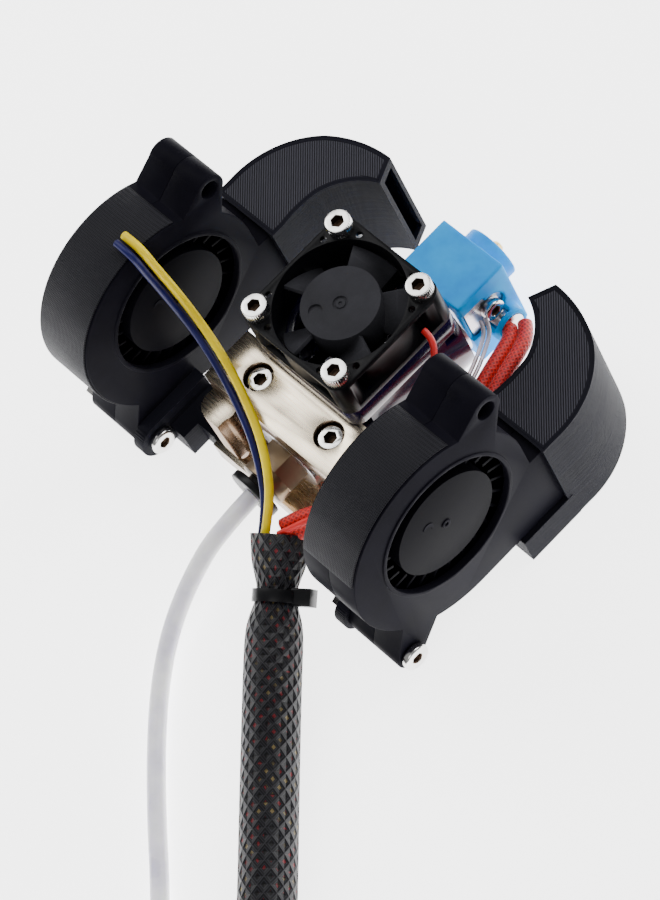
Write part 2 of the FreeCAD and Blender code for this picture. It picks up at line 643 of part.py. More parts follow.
def make_impeller(about):
    """Hub cup, carrier disc and a ring of thin leaning vanes."""
    hub = size("impeller_hub")
    vane_in, vane_out = size("vane_in"), size("vane_out")
    cup = about(hub, -7.1, 11.4).cut(about(hub - 1, -6.1, 12))
    disc = about(vane_out, 3.5, 0.8).cut(about(hub - 0.5, 3, 2))
    wheel = cup.fuse(disc).cut(about(size("motor_shaft"), -6, 11))
    centre = about(1, 0, 1).CenterOfMass - Vector(0.5, 0, 0)
    for count in range(VANE_COUNT):
        vane = Part.makeBox(9.5, vane_out - vane_in, size("vane_wall"),
                            Vector(-5.6, vane_in, 0))
        vane.rotate(Vector(0, vane_in, 0), X_AXIS, 24)
        vane.rotate(Vector(0, 0, 0), X_AXIS, count * 360 / VANE_COUNT)
        vane.translate(centre)
        wheel = wheel.fuse(vane)
    bound = about(vane_out, -7.5, 13)
    return wheel.common(bound)


def make_tape(side, word, from_angle, to_angle):
    """A strip of cloth tape that lies on the rim over part of its turn."""
    mid = side * size("blower_mid")
    half = size("blower_half")
    thick = size("tape_wall")
    outside = scroll_face(-thick).extrude(Vector(2 * half - 1, 0, 0))
    inside = scroll_face(-SEAM / 2, 5).extrude(Vector(2 * half - 1, 0, 0))
    band = outside.cut(inside)
    centre = Vector(0, size("impeller_y"), size("impeller_z"))
    rays = [centre + Vector(0, math.cos(math.radians(angle)), math.sin(math.radians(angle))) * 40
            for angle in (from_angle, (from_angle + to_angle) / 2, to_angle)]
    sector = Part.Face(Part.makePolygon([centre] + rays + [centre]))
    band = band.common(sector.extrude(Vector(2 * half - 1, 0, 0)))
    band.translate(Vector(mid - half + 0.5, 0, 0))
    solid_node(band, "blower_%s_tape" % word)


# ---------------------------------------------------------------- ducts

def duct_face(inset):
    """The duct's curved plan between the blower's outlet and the nozzle, drawn for +X."""
    outer = [Vector(49.2, -4.7, 0), Vector(49.2, -8.5, 0), Vector(47.1, -19.6, 0),
             Vector(40.0, -28.4, 0), Vector(33.0, -31.7, 0), Vector(24.7, -33.0, 0)]
    inner = [Vector(22.1, -27.4, 0), Vector(28.2, -23.3, 0), Vector(31.5, -17.6, 0),
             Vector(31.95, -12.8, 0), Vector(31.6, -8.0, 0), Vector(31.6, -4.7, 0)]
    edges = [Part.LineSegment(outer[0], outer[1]).toShape(), Part.Arc(*outer[1:4]).toShape(),
             Part.Arc(*outer[3:]).toShape(), Part.LineSegment(outer[5], inner[0]).toShape(),
             Part.Arc(*inner[:3]).toShape(), Part.Arc(*inner[2:5]).toShape(),
             Part.LineSegment(inner[4], inner[5]).toShape(),
             Part.LineSegment(inner[5], outer[0]).toShape()]
    face = Part.Face(Part.Wire(edges))
    return face.makeOffset2D(-inset) if inset else face


def make_duct(side, word):
    wall = size("duct_wall")
    front = size("duct_front")
    mid = size("blower_mid")
    half = size("blower_half")
    arcs, outlet_floor = scroll_arcs(0)
    floor = outlet_floor - 0.1
    outlet_top = outlet_floor + size("outlet_tall")

    def slab(low, high, inset=0):
        solid = duct_face(inset).extrude(Vector(0, 0, high - low))
        solid.translate(Vector(0, 0, low))
        return solid

    def ramp():
        """Space under the floor, which rises to the blower's outlet."""
        points = [Vector(0, -17, 0), Vector(0, -17, wall), Vector(0, -8, floor),
                  Vector(0, 12, floor), Vector(0, 12, 0)]
        return Part.Face(Part.makePolygon(points + points[:1])).extrude(Vector(60, 0, 0))

    shell = slab(0, front)
    tongue = Part.makeBox(2 * half + 2 * wall + 0.2, size("duct_lip") + 6, floor,
                          Vector(mid - half - wall - 0.1, -6, 0))
    cavity = slab(wall, front - wall, wall).cut(ramp())
    socket = Part.makeBox(2 * half + 0.2, 20, outlet_top - outlet_floor + 0.2,
                          Vector(mid - half - 0.1, -7.1, outlet_floor - 0.1))
    slot = duct_slot(wall)
    shell = shell.fuse(tongue).cut(cavity).cut(socket).cut(slot).removeSplitter()
    if side < 0:
        shell = shell.mirror(Vector(0, 0, 0), X_AXIS)
    solid_node(shell, "duct_%s" % word)


def duct_slot(wall):
    """The outlet slot through the end wall that faces the nozzle."""
    middle = Vector(23.5, -30.25, 0)
    along = Vector(-2.4, 5.5, 0).normalize()
    outward = Vector(-along.y, along.x, 0)
    reach = along * size("slot_half")
    corners = [middle - reach - outward * 3, middle + reach - outward * 3,
               middle + reach + outward * 3, middle - reach + outward * 3]
    tall = size("duct_front") - 2 * wall - 2
    solid = Part.Face(Part.makePolygon(corners + corners[:1])).extrude(Vector(0, 0, tall))
    solid.translate(Vector(0, 0, wall + 1))
    return solid


# ---------------------------------------------------------------- brackets and blower screws

def make_bracket(side, word):
    """A stepped plate from the clamp's side to the blower's rear ear."""
    inner = "(blower_mid - blower_half - 0.05)"
    plate_low = "%s - bracket_wall" % inner
    lug = rod("bracket_lug", "bracket_wall", (plate_low, "ear_rear_y", "ear_rear_z"), X_AXIS)
    cheek = span((plate_low, inner), ("lobe_top - 8", "ear_rear_y"), (2.7, 11.9))
    arm = span(("clamp_half + %s" % SEAM, inner), ("lobe_top - 8", "lobe_top"), (0.3, 8))
    step = span((25.5, inner), ("lobe_top - 8", "lobe_top + 4.2"), (0.3, 8))
    hole = rod("screw_hole", 12, (25, "ear_rear_y", "ear_rear_z"), X_AXIS)
    side_hole = rod("screw_hole", 14, ("clamp_half - 1", "side_screw_y", "back_wall / 2"), X_AXIS)
    head_room = rod("screw_head + 0.2", 14, (25.5, "side_screw_y", "back_wall / 2"), X_AXIS)
    whole = cut(fuse(lug, cheek, arm, step), hole, side_hole, head_room)
    if side < 0:
        mirrored = doc.addObject("Part::Mirroring", "mirrored")
        mirrored.Source = whole
        mirrored.Normal = X_AXIS
        whole = mirrored
    node(whole, "bracket_%s" % word)


def make_blower_screws():
    ear = ("ear_rear_y", "ear_rear_z")
    reach = "2 * blower_half + bracket_wall + 3"
    # both heads are on the side towards -X
    left = cap_screw(("blower_mid - blower_half - 0.05 - bracket_wall",) + ear, Vector(-1, 0, 0),
                     reach, "3", "1.9")
    right = cap_screw(("-blower_mid - blower_half",) + ear, Vector(-1, 0, 0), reach, "3", "1.9")
    node(group(left, right), "blower_screws")
    nuts = [hex_nut(("blower_mid + blower_half",) + ear, X_AXIS),
            hex_nut(("-blower_mid + blower_half + 0.05 + bracket_wall",) + ear, X_AXIS)]
    node(group(*nuts), "blower_nuts")
    height = "back_wall / 2"
    long = 10
    screws = [cap_screw((x, "side_screw_y", height), axis, long, "2.7", "1.9")
              for x, axis in ((25.5, X_AXIS), (-25.5, Vector(-1, 0, 0)))]
    node(group(*screws), "bracket_screws")


# ---------------------------------------------------------------- cords

def cord_wire(points, label, diameter):
    """Straight runs joined by tangent arcs, each as large as its two runs allow."""
    share = 0.45
    edges = []
    radii = []
    start = points[0]
    for count in range(1, len(points) - 1):
        before, corner, after = points[count - 1:count + 2]
        run_in, run_out = corner - before, after - corner
        half_turn = run_in.getAngle(run_out) / 2
        cut_back = share * min(run_in.Length, run_out.Length)
        radii.append(cut_back / math.tan(half_turn))
        towards = Vector(run_in).normalize()
        away = Vector(run_out).normalize()
        first = corner - towards * cut_back
        last = corner + away * cut_back
        inward = (away - towards).normalize()
        centre = corner + inward * (radii[-1] / math.cos(half_turn))
        middle = centre - inward * radii[-1]
        edges.append(Part.LineSegment(start, first).toShape())
        edges.append(Part.Arc(first, middle, last).toShape())
        start = last
    edges.append(Part.LineSegment(start, points[-1]).toShape())
    tightest = min(radii)
    print("%s: radii %s, tightest %.1f diameters"
          % (label, " ".join("%.0f" % radius for radius in radii), tightest / diameter))
    return Part.Wire(edges)


def cord_solid(points, radius, label):
    wire = cord_wire(points, label, 2 * radius)
    section = Part.Wire(Part.Circle(points[0], points[1] - points[0], radius).toShape())
    solid = wire.makePipeShell([section], True, True)
    expected = math.pi * radius ** 2 * wire.Length
    print("%s: length %.1f, volume %.1f, expected %.1f"
          % (label, wire.Length, solid.Volume, expected))
    if abs(solid.Volume - expected) > 0.02 * expected:
        raise RuntimeError("%s: the swept volume is wrong" % label)
    return solid


def vectors(route):
    return [Vector(*point) for point in route]


# each route is a list of points in millimetres, from the object outwards
TUBE_ROUTE = [(0, 28, 14), (0, 46, 14), (-0.4, 57.5, 9.1), (-3, 68, 4.4), (-9, 77.5, 2.2),
              (-18.5, 87.3, 2), (-30, 97.6, 2), (-42, 107.5, 2), (-54.5, 119.5, 2),
              (-64.2, 131.9, 2)]
LOOM_ROUTE = [(-12.6, 39.6, 15.8), (-18.9, 48.8, 11.4), (-25.5, 57.5, 7.7), (-34.5, 67.2, 6.1),
              (-48, 80.5, 6), (-62.9, 95, 6), (-80, 112.2, 6), (-97, 129, 6),
              (-114.7, 145.7, 6)]
YELLOW_ROUTE = [(37.2, 19.9, 57.6), (34, 19.9, 57.9), (31.8, 19.9, 56.5),
                (30.9, 19.8, 52), (28.6, 19.4, 42.4), (23, 20.2, 35.6), (16, 22, 32.3), (9, 24.5, 30.6),
                (1.5, 27.9, 28.2), (-4.2, 31.8, 25.2), (-8.8, 36.6, 21.9), (-11, 41.7, 18.2)]
BLUE_ROUTE = [(37.2, 22.1, 57.7), (34, 22.2, 58), (31.7, 22.2, 56.8), (30.9, 22.1, 52.4),
              (28.5, 21.6, 41.6), (23, 22.2, 34.6), (16.2, 24.1, 31), (9.3, 26.6, 29.3), (2, 29.8, 26.8),
              (-3.6, 33.8, 23.2), (-7.4, 37.6, 19.8), (-9.3, 41.9, 16.4)]
HEATER_ROUTE = [(-12.9, -26.2, 7.5), (-15.4, -24.6, 8.3), (-17.2, -20.4, 9.5),
                (-19, -15, 10.4), (-21.2, -8.5, 11.2), (-23.8, -0.5, 12.2), (-25.8, 8.5, 14),
                (-26.2, 17.5, 16.4), (-23.8, 25.5, 18.6), (-19.4, 31.4, 19.6),
                (-15.4, 36, 18.5), (-13.4, 38.9, 16.9)]
FAN_LEAD_ROUTE = [(-15.3, -7.2, 36.6), (-17.3, -7.1, 36.2), (-18.9, -6, 34.6),
                  (-20.4, -3.2, 31.6), (-22, 3, 28), (-23.2, 12.5, 25.6), (-23.2, 23, 24.8),
                  (-20.8, 31.5, 24), (-17.6, 36.6, 22.4), (-14.2, 40.2, 19.6)]
THERMISTOR_ROUTE = [(-9.6, -21.4, 13.4), (-12.4, -20.4, 14.2), (-15, -16.5, 14.6),
                    (-17.8, -10.5, 14.8), (-20.2, -2, 15.2), (-21.9, 8, 16.4),
                    (-22.2, 18.5, 18.6)]


def side_by_side(route, apart, radius, label):
    """Two like strands of one lead, a little apart across its way in plan."""
    points = vectors(route)
    strands = []
    for sign in (-1, 1):
        shifted = []
        for count, point in enumerate(points):
            way = points[min(count + 1, len(points) - 1)] - points[max(count - 1, 0)]
            across = Vector(-way.y, way.x, 0).normalize()
            shifted.append(point + across * (sign * apart / 2))
        strands.append(cord_solid(shifted, radius, label))
    return Part.makeCompound(strands)


def make_cords():
    radius = size("tube_radius")
    tube = cord_solid(vectors(TUBE_ROUTE), radius, "bowden_tube")
    bore = cord_solid(vectors(TUBE_ROUTE), size("tube_hole"), "bowden_tube bore")
    solid_node(tube.cut(bore), "bowden_tube")
    liner = Part.makeCylinder(radius, 43, Vector(0, -15.4, size("path_height")), Y_AXIS)
    hole = Part.makeCylinder(size("tube_hole"), 45, Vector(0, -16, size("path_height")), Y_AXIS)
    solid_node(liner.cut(hole), "tube_liner")
    solid_node(cord_solid(vectors(LOOM_ROUTE), size("loom_radius"), "loom_sleeve"),
               "loom_sleeve")
    solid_node(cord_solid(vectors(YELLOW_ROUTE), 0.95, "lead_yellow"), "lead_yellow")
    solid_node(cord_solid(vectors(BLUE_ROUTE), 0.8, "lead_blue"), "lead_blue")
    solid_node(side_by_side(HEATER_ROUTE, 3.3, 1.6, "heater_leads"), "heater_leads")
    solid_node(cord_solid(vectors(FAN_LEAD_ROUTE), 0.7, "fan_lead"), "fan_lead")
    solid_node(side_by_side(THERMISTOR_ROUTE, 1.2, 0.45, "thermistor_leads"),
               "thermistor_leads")
    make_coils()


def ring_solid(centre, mean_radius, radius, layers):
    """The closed outer shape of a stack of turns lying on the floor."""
    outer = Part.makeCylinder(mean_radius + radius, 2 * radius * layers, centre)
    inner = Part.makeCylinder(mean_radius - radius, 2 * radius * layers, centre)
    return outer.cut(inner)


def coil_tie(centre, mean_radius, radius, layers, angle):
    """A flat band right round the stack of turns at one place."""
    wall = size("tie_wall")
    wide, tall = 2 * radius, 2 * radius * layers
    band = Part.makeBox(wide + 2 * wall, 5, tall + wall,
                        Vector(mean_radius - radius - wall, -2.5, 0))
    space = Part.makeBox(wide, 7, tall - wall, Vector(mean_radius - radius, -3.5, wall))
    tie = band.cut(space)
    tie.rotate(Vector(0, 0, 0), Z_AXIS, angle)
    tie.translate(centre)
    return tie


def make_coils():
    loom_centre = Vector(-150, 109.6, 0)
    tube_centre = Vector(-49.1, 145.1, 0)
    radius = size("loom_radius")
    ring = ring_solid(loom_centre, size("loom_ring"), radius, 2)
    # the connector takes the place of the last part of the upper turn
    plug_room = Part.makeBox(40, 30, 2 * radius + 1,
                             Vector(-20, size("loom_ring") - 15, 2 * radius))
    plug_room.rotate(Vector(0, 0, 0), Z_AXIS, PLUG_ANGLE)
    plug_room.translate(loom_centre)
    solid_node(ring.cut(plug_room), "loom_coil")
    plug = Part.makeBox(26, 12, 9, Vector(-13, size("loom_ring") - 6, 2 * radius + 0.05))
    plug.rotate(Vector(0, 0, 0), Z_AXIS, PLUG_ANGLE)
    plug.translate(loom_centre)
    solid_node(plug, "loom_connector")
    solid_node(ring_solid(tube_centre, size("tube_ring"), size("tube_radius"), 2), "tube_coil")
    ties = [coil_tie(loom_centre, size("loom_ring"), radius, 2, angle) for angle in (130, 235)]
    ties.append(coil_tie(tube_centre, size("tube_ring"), size("tube_radius"), 2, 40))
    solid_node(Part.makeCompound(ties), "coil_ties")
    tie_at, tie_next = vectors(LOOM_ROUTE)[1:3]
    along = (tie_next - vectors(LOOM_ROUTE)[0]).normalize()
    inner = radius + 0.2
    band = Part.makeCylinder(inner + size("tie_wall"), 3, tie_at - along * 1.5, along)
    band = band.cut(Part.makeCylinder(inner, 9, tie_at - along * 4, along))
    aside = along.cross(Z_AXIS).normalize()
    head = Part.makeBox(4, 4.5, 4, Vector(-2, -2.25, 0))
    head.rotate(Vector(0, 0, 0), Rotation(Z_AXIS, -aside).Axis,
                math.degrees(Rotation(Z_AXIS, -aside).Angle))
    head.translate(tie_at - aside * (radius + 0.9))
    head = head.cut(Part.makeCylinder(inner, 9, tie_at - along * 4, along))
    solid_node(band.fuse(head), "loom_tie")


def export_nodes():
    doc.recompute()
    for item in doc.Objects:
        if "Invalid" in item.State or "Error" in item.State:
            raise RuntimeError("%s did not compute: %s" % (item.Label, item.State))
    os.makedirs("parts", exist_ok=True)
    for item in NODES:
        shape = item.Shape
        if shape.isNull() or not shape.isValid() or not shape.Solids:
            raise RuntimeError("%s has no sound shape" % item.Label)
        box_now = shape.BoundBox
        print("%-22s solids %d volume %9.1f  x %7.2f %7.2f  y %7.2f %7.2f  z %7.2f %7.2f"
              % (item.Label, len(shape.Solids), shape.Volume, box_now.XMin, box_now.XMax,
                 box_now.YMin, box_now.YMax, box_now.ZMin, box_now.ZMax))
        shape.exportStep("parts/%s.step" % item.Label)


make_fan()
make_shroud()
make_clamp()
make_filament_path()
make_coupler()
for side, word in ((1, "left"), (-1, "right")):
    make_blower(side, word)
    make_duct(side, word)
    make_bracket(side, word)
make_tape(1, "left", 112, -28)
make_tape(-1, "right", 112, 20)
make_blower_screws()
make_cords()
export_nodes()
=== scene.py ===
import math
import bpy
from mathutils import Matrix, Vector


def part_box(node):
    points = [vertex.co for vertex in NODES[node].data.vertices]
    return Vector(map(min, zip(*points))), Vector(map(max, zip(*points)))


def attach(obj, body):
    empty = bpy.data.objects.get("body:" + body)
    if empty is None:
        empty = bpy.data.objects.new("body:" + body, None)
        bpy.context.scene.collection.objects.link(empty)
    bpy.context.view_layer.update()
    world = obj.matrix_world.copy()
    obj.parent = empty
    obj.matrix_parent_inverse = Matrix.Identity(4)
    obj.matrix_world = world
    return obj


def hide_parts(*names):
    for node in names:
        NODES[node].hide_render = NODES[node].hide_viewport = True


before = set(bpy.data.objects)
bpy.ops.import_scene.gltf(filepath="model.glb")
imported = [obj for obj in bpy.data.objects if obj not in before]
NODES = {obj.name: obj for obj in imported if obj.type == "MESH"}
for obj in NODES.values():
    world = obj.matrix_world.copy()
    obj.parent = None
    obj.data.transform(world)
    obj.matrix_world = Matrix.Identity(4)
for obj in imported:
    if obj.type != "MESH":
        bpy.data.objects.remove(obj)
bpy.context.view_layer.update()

bl_info = {
    "name": "Hotend assembly",
    "version": (1, 0, 0),
    "blender": (4, 5, 0),
    "location": "View3D > Sidebar > Hotend",
    "description": "Finishes the hotend's fans, blowers, clamp, sleeve, leads and loom",
    "category": "Object",
}

MM = 0.001

# Cord routes, in metres, from the fan's centre line; ROUTE_SHIFT moves them to the frame's origin.
ROUTE_SHIFT = -0.02325
TUBE_ROUTE = [(0, .028, .014), (0, .046, .014), (-.0004, .0575, .0091), (-.003, .068, .0044),
              (-.009, .0775, .0022), (-.0185, .0873, .002), (-.030, .0976, .002),
              (-.042, .1075, .002), (-.0545, .1195, .002)]
LOOM_ROUTE = [(-.0126, .0396, .0158), (-.0189, .0488, .0114), (-.0255, .0575, .0077),
              (-.0345, .0672, .0061), (-.048, .0805, .006), (-.0629, .095, .006),
              (-.080, .1122, .006), (-.097, .129, .006)]
YELLOW_ROUTE = [(.0372, .0199, .0576), (.034, .0199, .0579), (.0318, .0199, .0565),
                (.0309, .0198, .052), (.0286, .0194, .0424), (.023, .0202, .0356),
                (.016, .022, .0323), (.009, .0245, .0306), (.0015, .0279, .0282),
                (-.0042, .0318, .0252), (-.0088, .0366, .0219), (-.011, .0417, .0182)]
BLUE_ROUTE = [(.0372, .0221, .0577), (.034, .0222, .058), (.0317, .0222, .0568),
              (.0309, .0221, .0524), (.0285, .0216, .0416), (.023, .0222, .0346),
              (.0162, .0241, .031), (.0093, .0266, .0293), (.002, .0298, .0268),
              (-.0036, .0338, .0232), (-.0074, .0376, .0198), (-.0093, .0419, .0164)]
HEATER_ROUTE = [(-.0129, -.0262, .0075), (-.0154, -.0246, .0083), (-.0172, -.0204, .0095),
                (-.019, -.015, .0104), (-.0212, -.0085, .0112), (-.0238, -.0005, .0122),
                (-.0258, .0085, .014), (-.0262, .0175, .0164), (-.0238, .0255, .0186),
                (-.0194, .0314, .0196), (-.0154, .036, .0185), (-.0134, .0389, .0169)]
FAN_LEAD_ROUTE = [(-.0153, -.0072, .0366), (-.0173, -.0071, .0362), (-.0189, -.006, .0346),
                  (-.0204, -.0032, .0316), (-.022, .003, .028), (-.0232, .0125, .0256),
                  (-.0232, .023, .0248), (-.0208, .0315, .024), (-.0176, .0366, .0224),
                  (-.0142, .0402, .0196)]
THERMISTOR_ROUTE = [(-.0096, -.0214, .0134), (-.0124, -.0204, .0142), (-.015, -.0165, .0146),
                    (-.0178, -.0105, .0148), (-.0202, -.002, .0152), (-.0219, .008, .0164),
                    (-.0222, .0185, .0186)]
LOOM_TIE_AT = 11.6 * MM
LOOM_COIL = Vector((-.150, .1096, 0))
TUBE_COIL = Vector((-.0491, .1451, 0))


# ------------------------------------------------------------------ settings

class HotendSizes(bpy.types.PropertyGroup):
    """Sizes that a user may change without leaving the frame."""
    edge: bpy.props.FloatProperty(
        name="Moulded edge", description="Rounding of moulded and printed edges",
        default=0.22 * MM, unit="LENGTH")
    metal_edge: bpy.props.FloatProperty(
        name="Metal edge", description="Chamfer of the clamp's machined edges",
        default=0.2 * MM, unit="LENGTH")
    loom_diameter: bpy.props.FloatProperty(
        name="Loom diameter", description="Outside of the braided sleeve",
        default=12 * MM, unit="LENGTH")
    tube_diameter: bpy.props.FloatProperty(
        name="Tube diameter", description="Outside of the filament tube",
        default=4 * MM, unit="LENGTH")


class HotendColours(bpy.types.PropertyGroup):
    """Base colours of the main finishes."""
    sleeve: bpy.props.FloatVectorProperty(
        name="Silicone", description="Sleeve of the heater block", subtype="COLOR",
        default=(0.0, 0.35, 1.0))
    plating: bpy.props.FloatVectorProperty(
        name="Plating", description="Warm nickel plate of the clamp", subtype="COLOR",
        default=(0.88, 0.76, 0.58))
    plastic: bpy.props.FloatVectorProperty(
        name="Black plastic", description="Blower housings", subtype="COLOR",
        default=(0.0055, 0.0052, 0.0085))
    yellow: bpy.props.FloatVectorProperty(
        name="Yellow lead", description="Yellow blower lead", subtype="COLOR",
        default=(0.88, 0.62, 0.0))
    blue: bpy.props.FloatVectorProperty(
        name="Blue lead", description="Blue blower lead", subtype="COLOR",
        default=(0.005, 0.006, 0.075))


def sizes():
    return bpy.context.scene.hotend_sizes


def colours():
    return bpy.context.scene.hotend_colours


# ------------------------------------------------------------------ selection and mesh helpers

def only(obj):
    """Leave one object selected and active."""
    bpy.ops.object.select_all(action="DESELECT")
    obj.select_set(True)
    bpy.context.view_layer.objects.active = obj


def apply_all(obj):
    only(obj)
    for modifier in list(obj.modifiers):
        bpy.ops.object.modifier_apply(modifier=modifier.name)


def set_place(obj):
    """Put the object's place into its mesh."""
    only(obj)
    bpy.ops.object.transform_apply(location=True, rotation=True, scale=True)


def paint(obj, material):
    obj.data.materials.clear()
    obj.data.materials.append(material)


def settle(obj, material, body="frame", replaces=()):
    """Give a finished piece its material, its body and the CAD nodes it stands for."""
    if material is not None:
        paint(obj, material)
    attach(obj, body)
    if replaces:
        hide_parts(*replaces)
    return obj


def smooth(obj, angle=35):
    only(obj)
    bpy.ops.object.shade_smooth_by_angle(angle=math.radians(angle))


def copy_of(node, name):
    """A merged, cleaned copy of a CAD node, ready to be shaped further."""
    obj = bpy.data.objects.new(name, NODES[node].data.copy())
    bpy.context.collection.objects.link(obj)
    only(obj)
    bpy.ops.object.mode_set(mode="EDIT")
    bpy.ops.mesh.select_all(action="SELECT")
    bpy.ops.mesh.remove_doubles(threshold=2e-6)
    bpy.ops.mesh.dissolve_limited(angle_limit=math.radians(0.6))
    bpy.ops.object.mode_set(mode="OBJECT")
    return obj


def round_edges(obj, width, segments=2, angle=32):
    bevel = obj.modifiers.new("edge", "BEVEL")
    bevel.width = width
    bevel.segments = segments
    bevel.limit_method = "ANGLE"
    bevel.angle_limit = math.radians(angle)
    apply_all(obj)
    smooth(obj)
    return obj


def softened(node, name, width, material, body="frame"):
    """A CAD node with its edges rounded and its own finish."""
    obj = round_edges(copy_of(node, name), width)
    return settle(obj, material, body, (node,))


def carve(obj, tool, operation="DIFFERENCE"):
    """Combine a mesh with a tool mesh and remove the tool."""
    step = obj.modifiers.new("carve", "BOOLEAN")
    step.operation = operation
    step.solver = "EXACT"
    step.material_mode = "TRANSFER"
    step.object = tool
    apply_all(obj)
    bpy.data.objects.remove(tool)


def cylinder(radius, depth, centre, axis=(0, 0, 1), sides=48, name="tool"):
    bpy.ops.object.select_all(action="DESELECT")
    bpy.ops.mesh.primitive_cylinder_add(vertices=sides, radius=radius, depth=depth)
    obj = bpy.context.active_object
    obj.name = name
    turn = Vector((0, 0, 1)).rotation_difference(Vector(axis))
    obj.matrix_world = Matrix.Translation(Vector(centre)) @ turn.to_matrix().to_4x4()
    set_place(obj)
    return obj


def cuboid(low, high, name="tool"):
    low, high = Vector(low), Vector(high)
    bpy.ops.object.select_all(action="DESELECT")
    bpy.ops.mesh.primitive_cube_add(size=1, location=(low + high) / 2)
    obj = bpy.context.active_object
    obj.name = name
    obj.scale = high - low
    set_place(obj)
    return obj


def join(first, *others):
    only(first)
    for other in others:
        other.select_set(True)
    bpy.ops.object.join()
    return first


def moved_copy(obj, place, name):
    """A copy with its own mesh at another place."""
    twin = bpy.data.objects.new(name, obj.data.copy())
    bpy.context.collection.objects.link(twin)
    twin.data.transform(place)
    return twin


# ------------------------------------------------------------------ material helpers

MATERIALS = {}


def new_material(name, colour, roughness, metallic=0.0, **values):
    """A material with its even values set on the shader's own sockets."""
    material = bpy.data.materials.new(name)
    material.use_nodes = True
    shader = material.node_tree.nodes["Principled BSDF"]
    shader.inputs["Base Color"].default_value = (*colour, 1)
    shader.inputs["Roughness"].default_value = roughness
    shader.inputs["Metallic"].default_value = metallic
    for socket, value in values.items():
        shader.inputs[socket.replace("_", " ")].default_value = value
    MATERIALS[name] = material
    return material


def add_node(material, kind, **settings):
    item = material.node_tree.nodes.new(kind)
    for key, value in settings.items():
        setattr(item, key, value)
    return item


def wire(material, out_socket, in_socket):
    material.node_tree.links.new(out_socket, in_socket)


def shader_of(material):
    return material.node_tree.nodes["Principled BSDF"]


def coordinates(material, scale=(1, 1, 1), turn=(0, 0, 0), source="Object"):
    """Coordinates in millimetres, stretched and turned."""
    origin = add_node(material, "ShaderNodeTexCoord")
    mapping = add_node(material, "ShaderNodeMapping")
    mapping.inputs["Scale"].default_value = [1000 * value for value in scale]
    mapping.inputs["Rotation"].default_value = [math.radians(value) for value in turn]
    wire(material, origin.outputs[source], mapping.inputs["Vector"])
    return mapping.outputs["Vector"]


def noise(material, vector, scale, detail=3.0, roughness=0.55):
    item = add_node(material, "ShaderNodeTexNoise")
    item.inputs["Scale"].default_value = scale
    item.inputs["Detail"].default_value = detail
    item.inputs["Roughness"].default_value = roughness
    wire(material, vector, item.inputs["Vector"])
    return item.outputs["Fac"]


def bands(material, vector, pitch, direction="X", distortion=0.0):
    """Even ridges, one per pitch in millimetres."""
    item = add_node(material, "ShaderNodeTexWave", bands_direction=direction)
    item.inputs["Scale"].default_value = 0.314 / pitch
    item.inputs["Distortion"].default_value = distortion
    wire(material, vector, item.inputs["Vector"])
    return item.outputs["Fac"]


def ramp(material, factor, stops):
    item = add_node(material, "ShaderNodeValToRGB")
    elements = item.color_ramp.elements
    while len(elements) < len(stops):
        elements.new(0.5)
    for element, (position, colour) in zip(elements, stops):
        element.position = position
        element.color = (*colour, 1)
    wire(material, factor, item.inputs["Fac"])
    return item.outputs["Color"]


def span_value(material, factor, low, high):
    """Stretch a 0 to 1 factor to a range."""
    item = add_node(material, "ShaderNodeMapRange")
    item.inputs["To Min"].default_value = low
    item.inputs["To Max"].default_value = high
    wire(material, factor, item.inputs["Value"])
    return item.outputs["Result"]


def calculate(material, operation, first, second):
    item = add_node(material, "ShaderNodeMath", operation=operation)
    for socket, value in zip(item.inputs, (first, second)):
        if isinstance(value, (int, float)):
            socket.default_value = value
        else:
            wire(material, value, socket)
    return item.outputs["Value"]


def mix_colours(material, factor, first, second):
    """Blend two colours, each a socket or a plain colour."""
    item = add_node(material, "ShaderNodeMix", data_type="RGBA")
    wire(material, factor, item.inputs["Factor"])
    for socket, value in ((item.inputs[6], first), (item.inputs[7], second)):
        if isinstance(value, tuple):
            socket.default_value = (*value, 1)
        else:
            wire(material, value, socket)
    return item.outputs[2]


def set_relief(material, height, depth, strength=1.0, below=None):
    """Raise the surface by a height factor times a depth in metres."""
    bump = add_node(material, "ShaderNodeBump")
    bump.inputs["Strength"].default_value = strength
    bump.inputs["Distance"].default_value = depth
    wire(material, height, bump.inputs["Height"])
    if below is not None:
        wire(material, below, bump.inputs["Normal"])
    wire(material, bump.outputs["Normal"], shader_of(material).inputs["Normal"])
    return bump.outputs["Normal"]


def set_colour(material, socket):
    wire(material, socket, shader_of(material).inputs["Base Color"])


def set_roughness(material, socket):
    wire(material, socket, shader_of(material).inputs["Roughness"])


def shade(colour, factor):
    return tuple(min(1.0, value * factor) for value in colour)


def moulded_plastic(name, colour, roughness, grain=1.6, depth=0.02, **values):
    """Injection-moulded plastic: fine spark texture and uneven gloss."""
    material = new_material(name, colour, roughness, **values)
    place = coordinates(material)
    cloud = noise(material, place, 0.12, 4)
    fine = noise(material, place, grain, 2)
    set_colour(material, ramp(material, cloud, [(0.3, shade(colour, 0.8)),
                                                (0.7, shade(colour, 1.25))]))
    set_roughness(material, span_value(material, cloud, roughness - 0.06, roughness + 0.08))
    set_relief(material, fine, depth * MM, 0.5)
    return material


def brushed_metal(name, colour, roughness, stretch, depth=0.01, **values):
    """Metal with fine parallel marks along the axis that is stretched least."""
    material = new_material(name, colour, roughness, 1.0, **values)
    marks = noise(material, coordinates(material, stretch), 1.4, 3)
    cloud = noise(material, coordinates(material), 0.15, 3)
    set_colour(material, ramp(material, cloud, [(0.3, shade(colour, 0.82)),
                                                (0.65, colour)]))
    set_roughness(material, span_value(material, marks, roughness - 0.08, roughness + 0.14))
    set_relief(material, marks, depth * MM, 0.6)
    return material


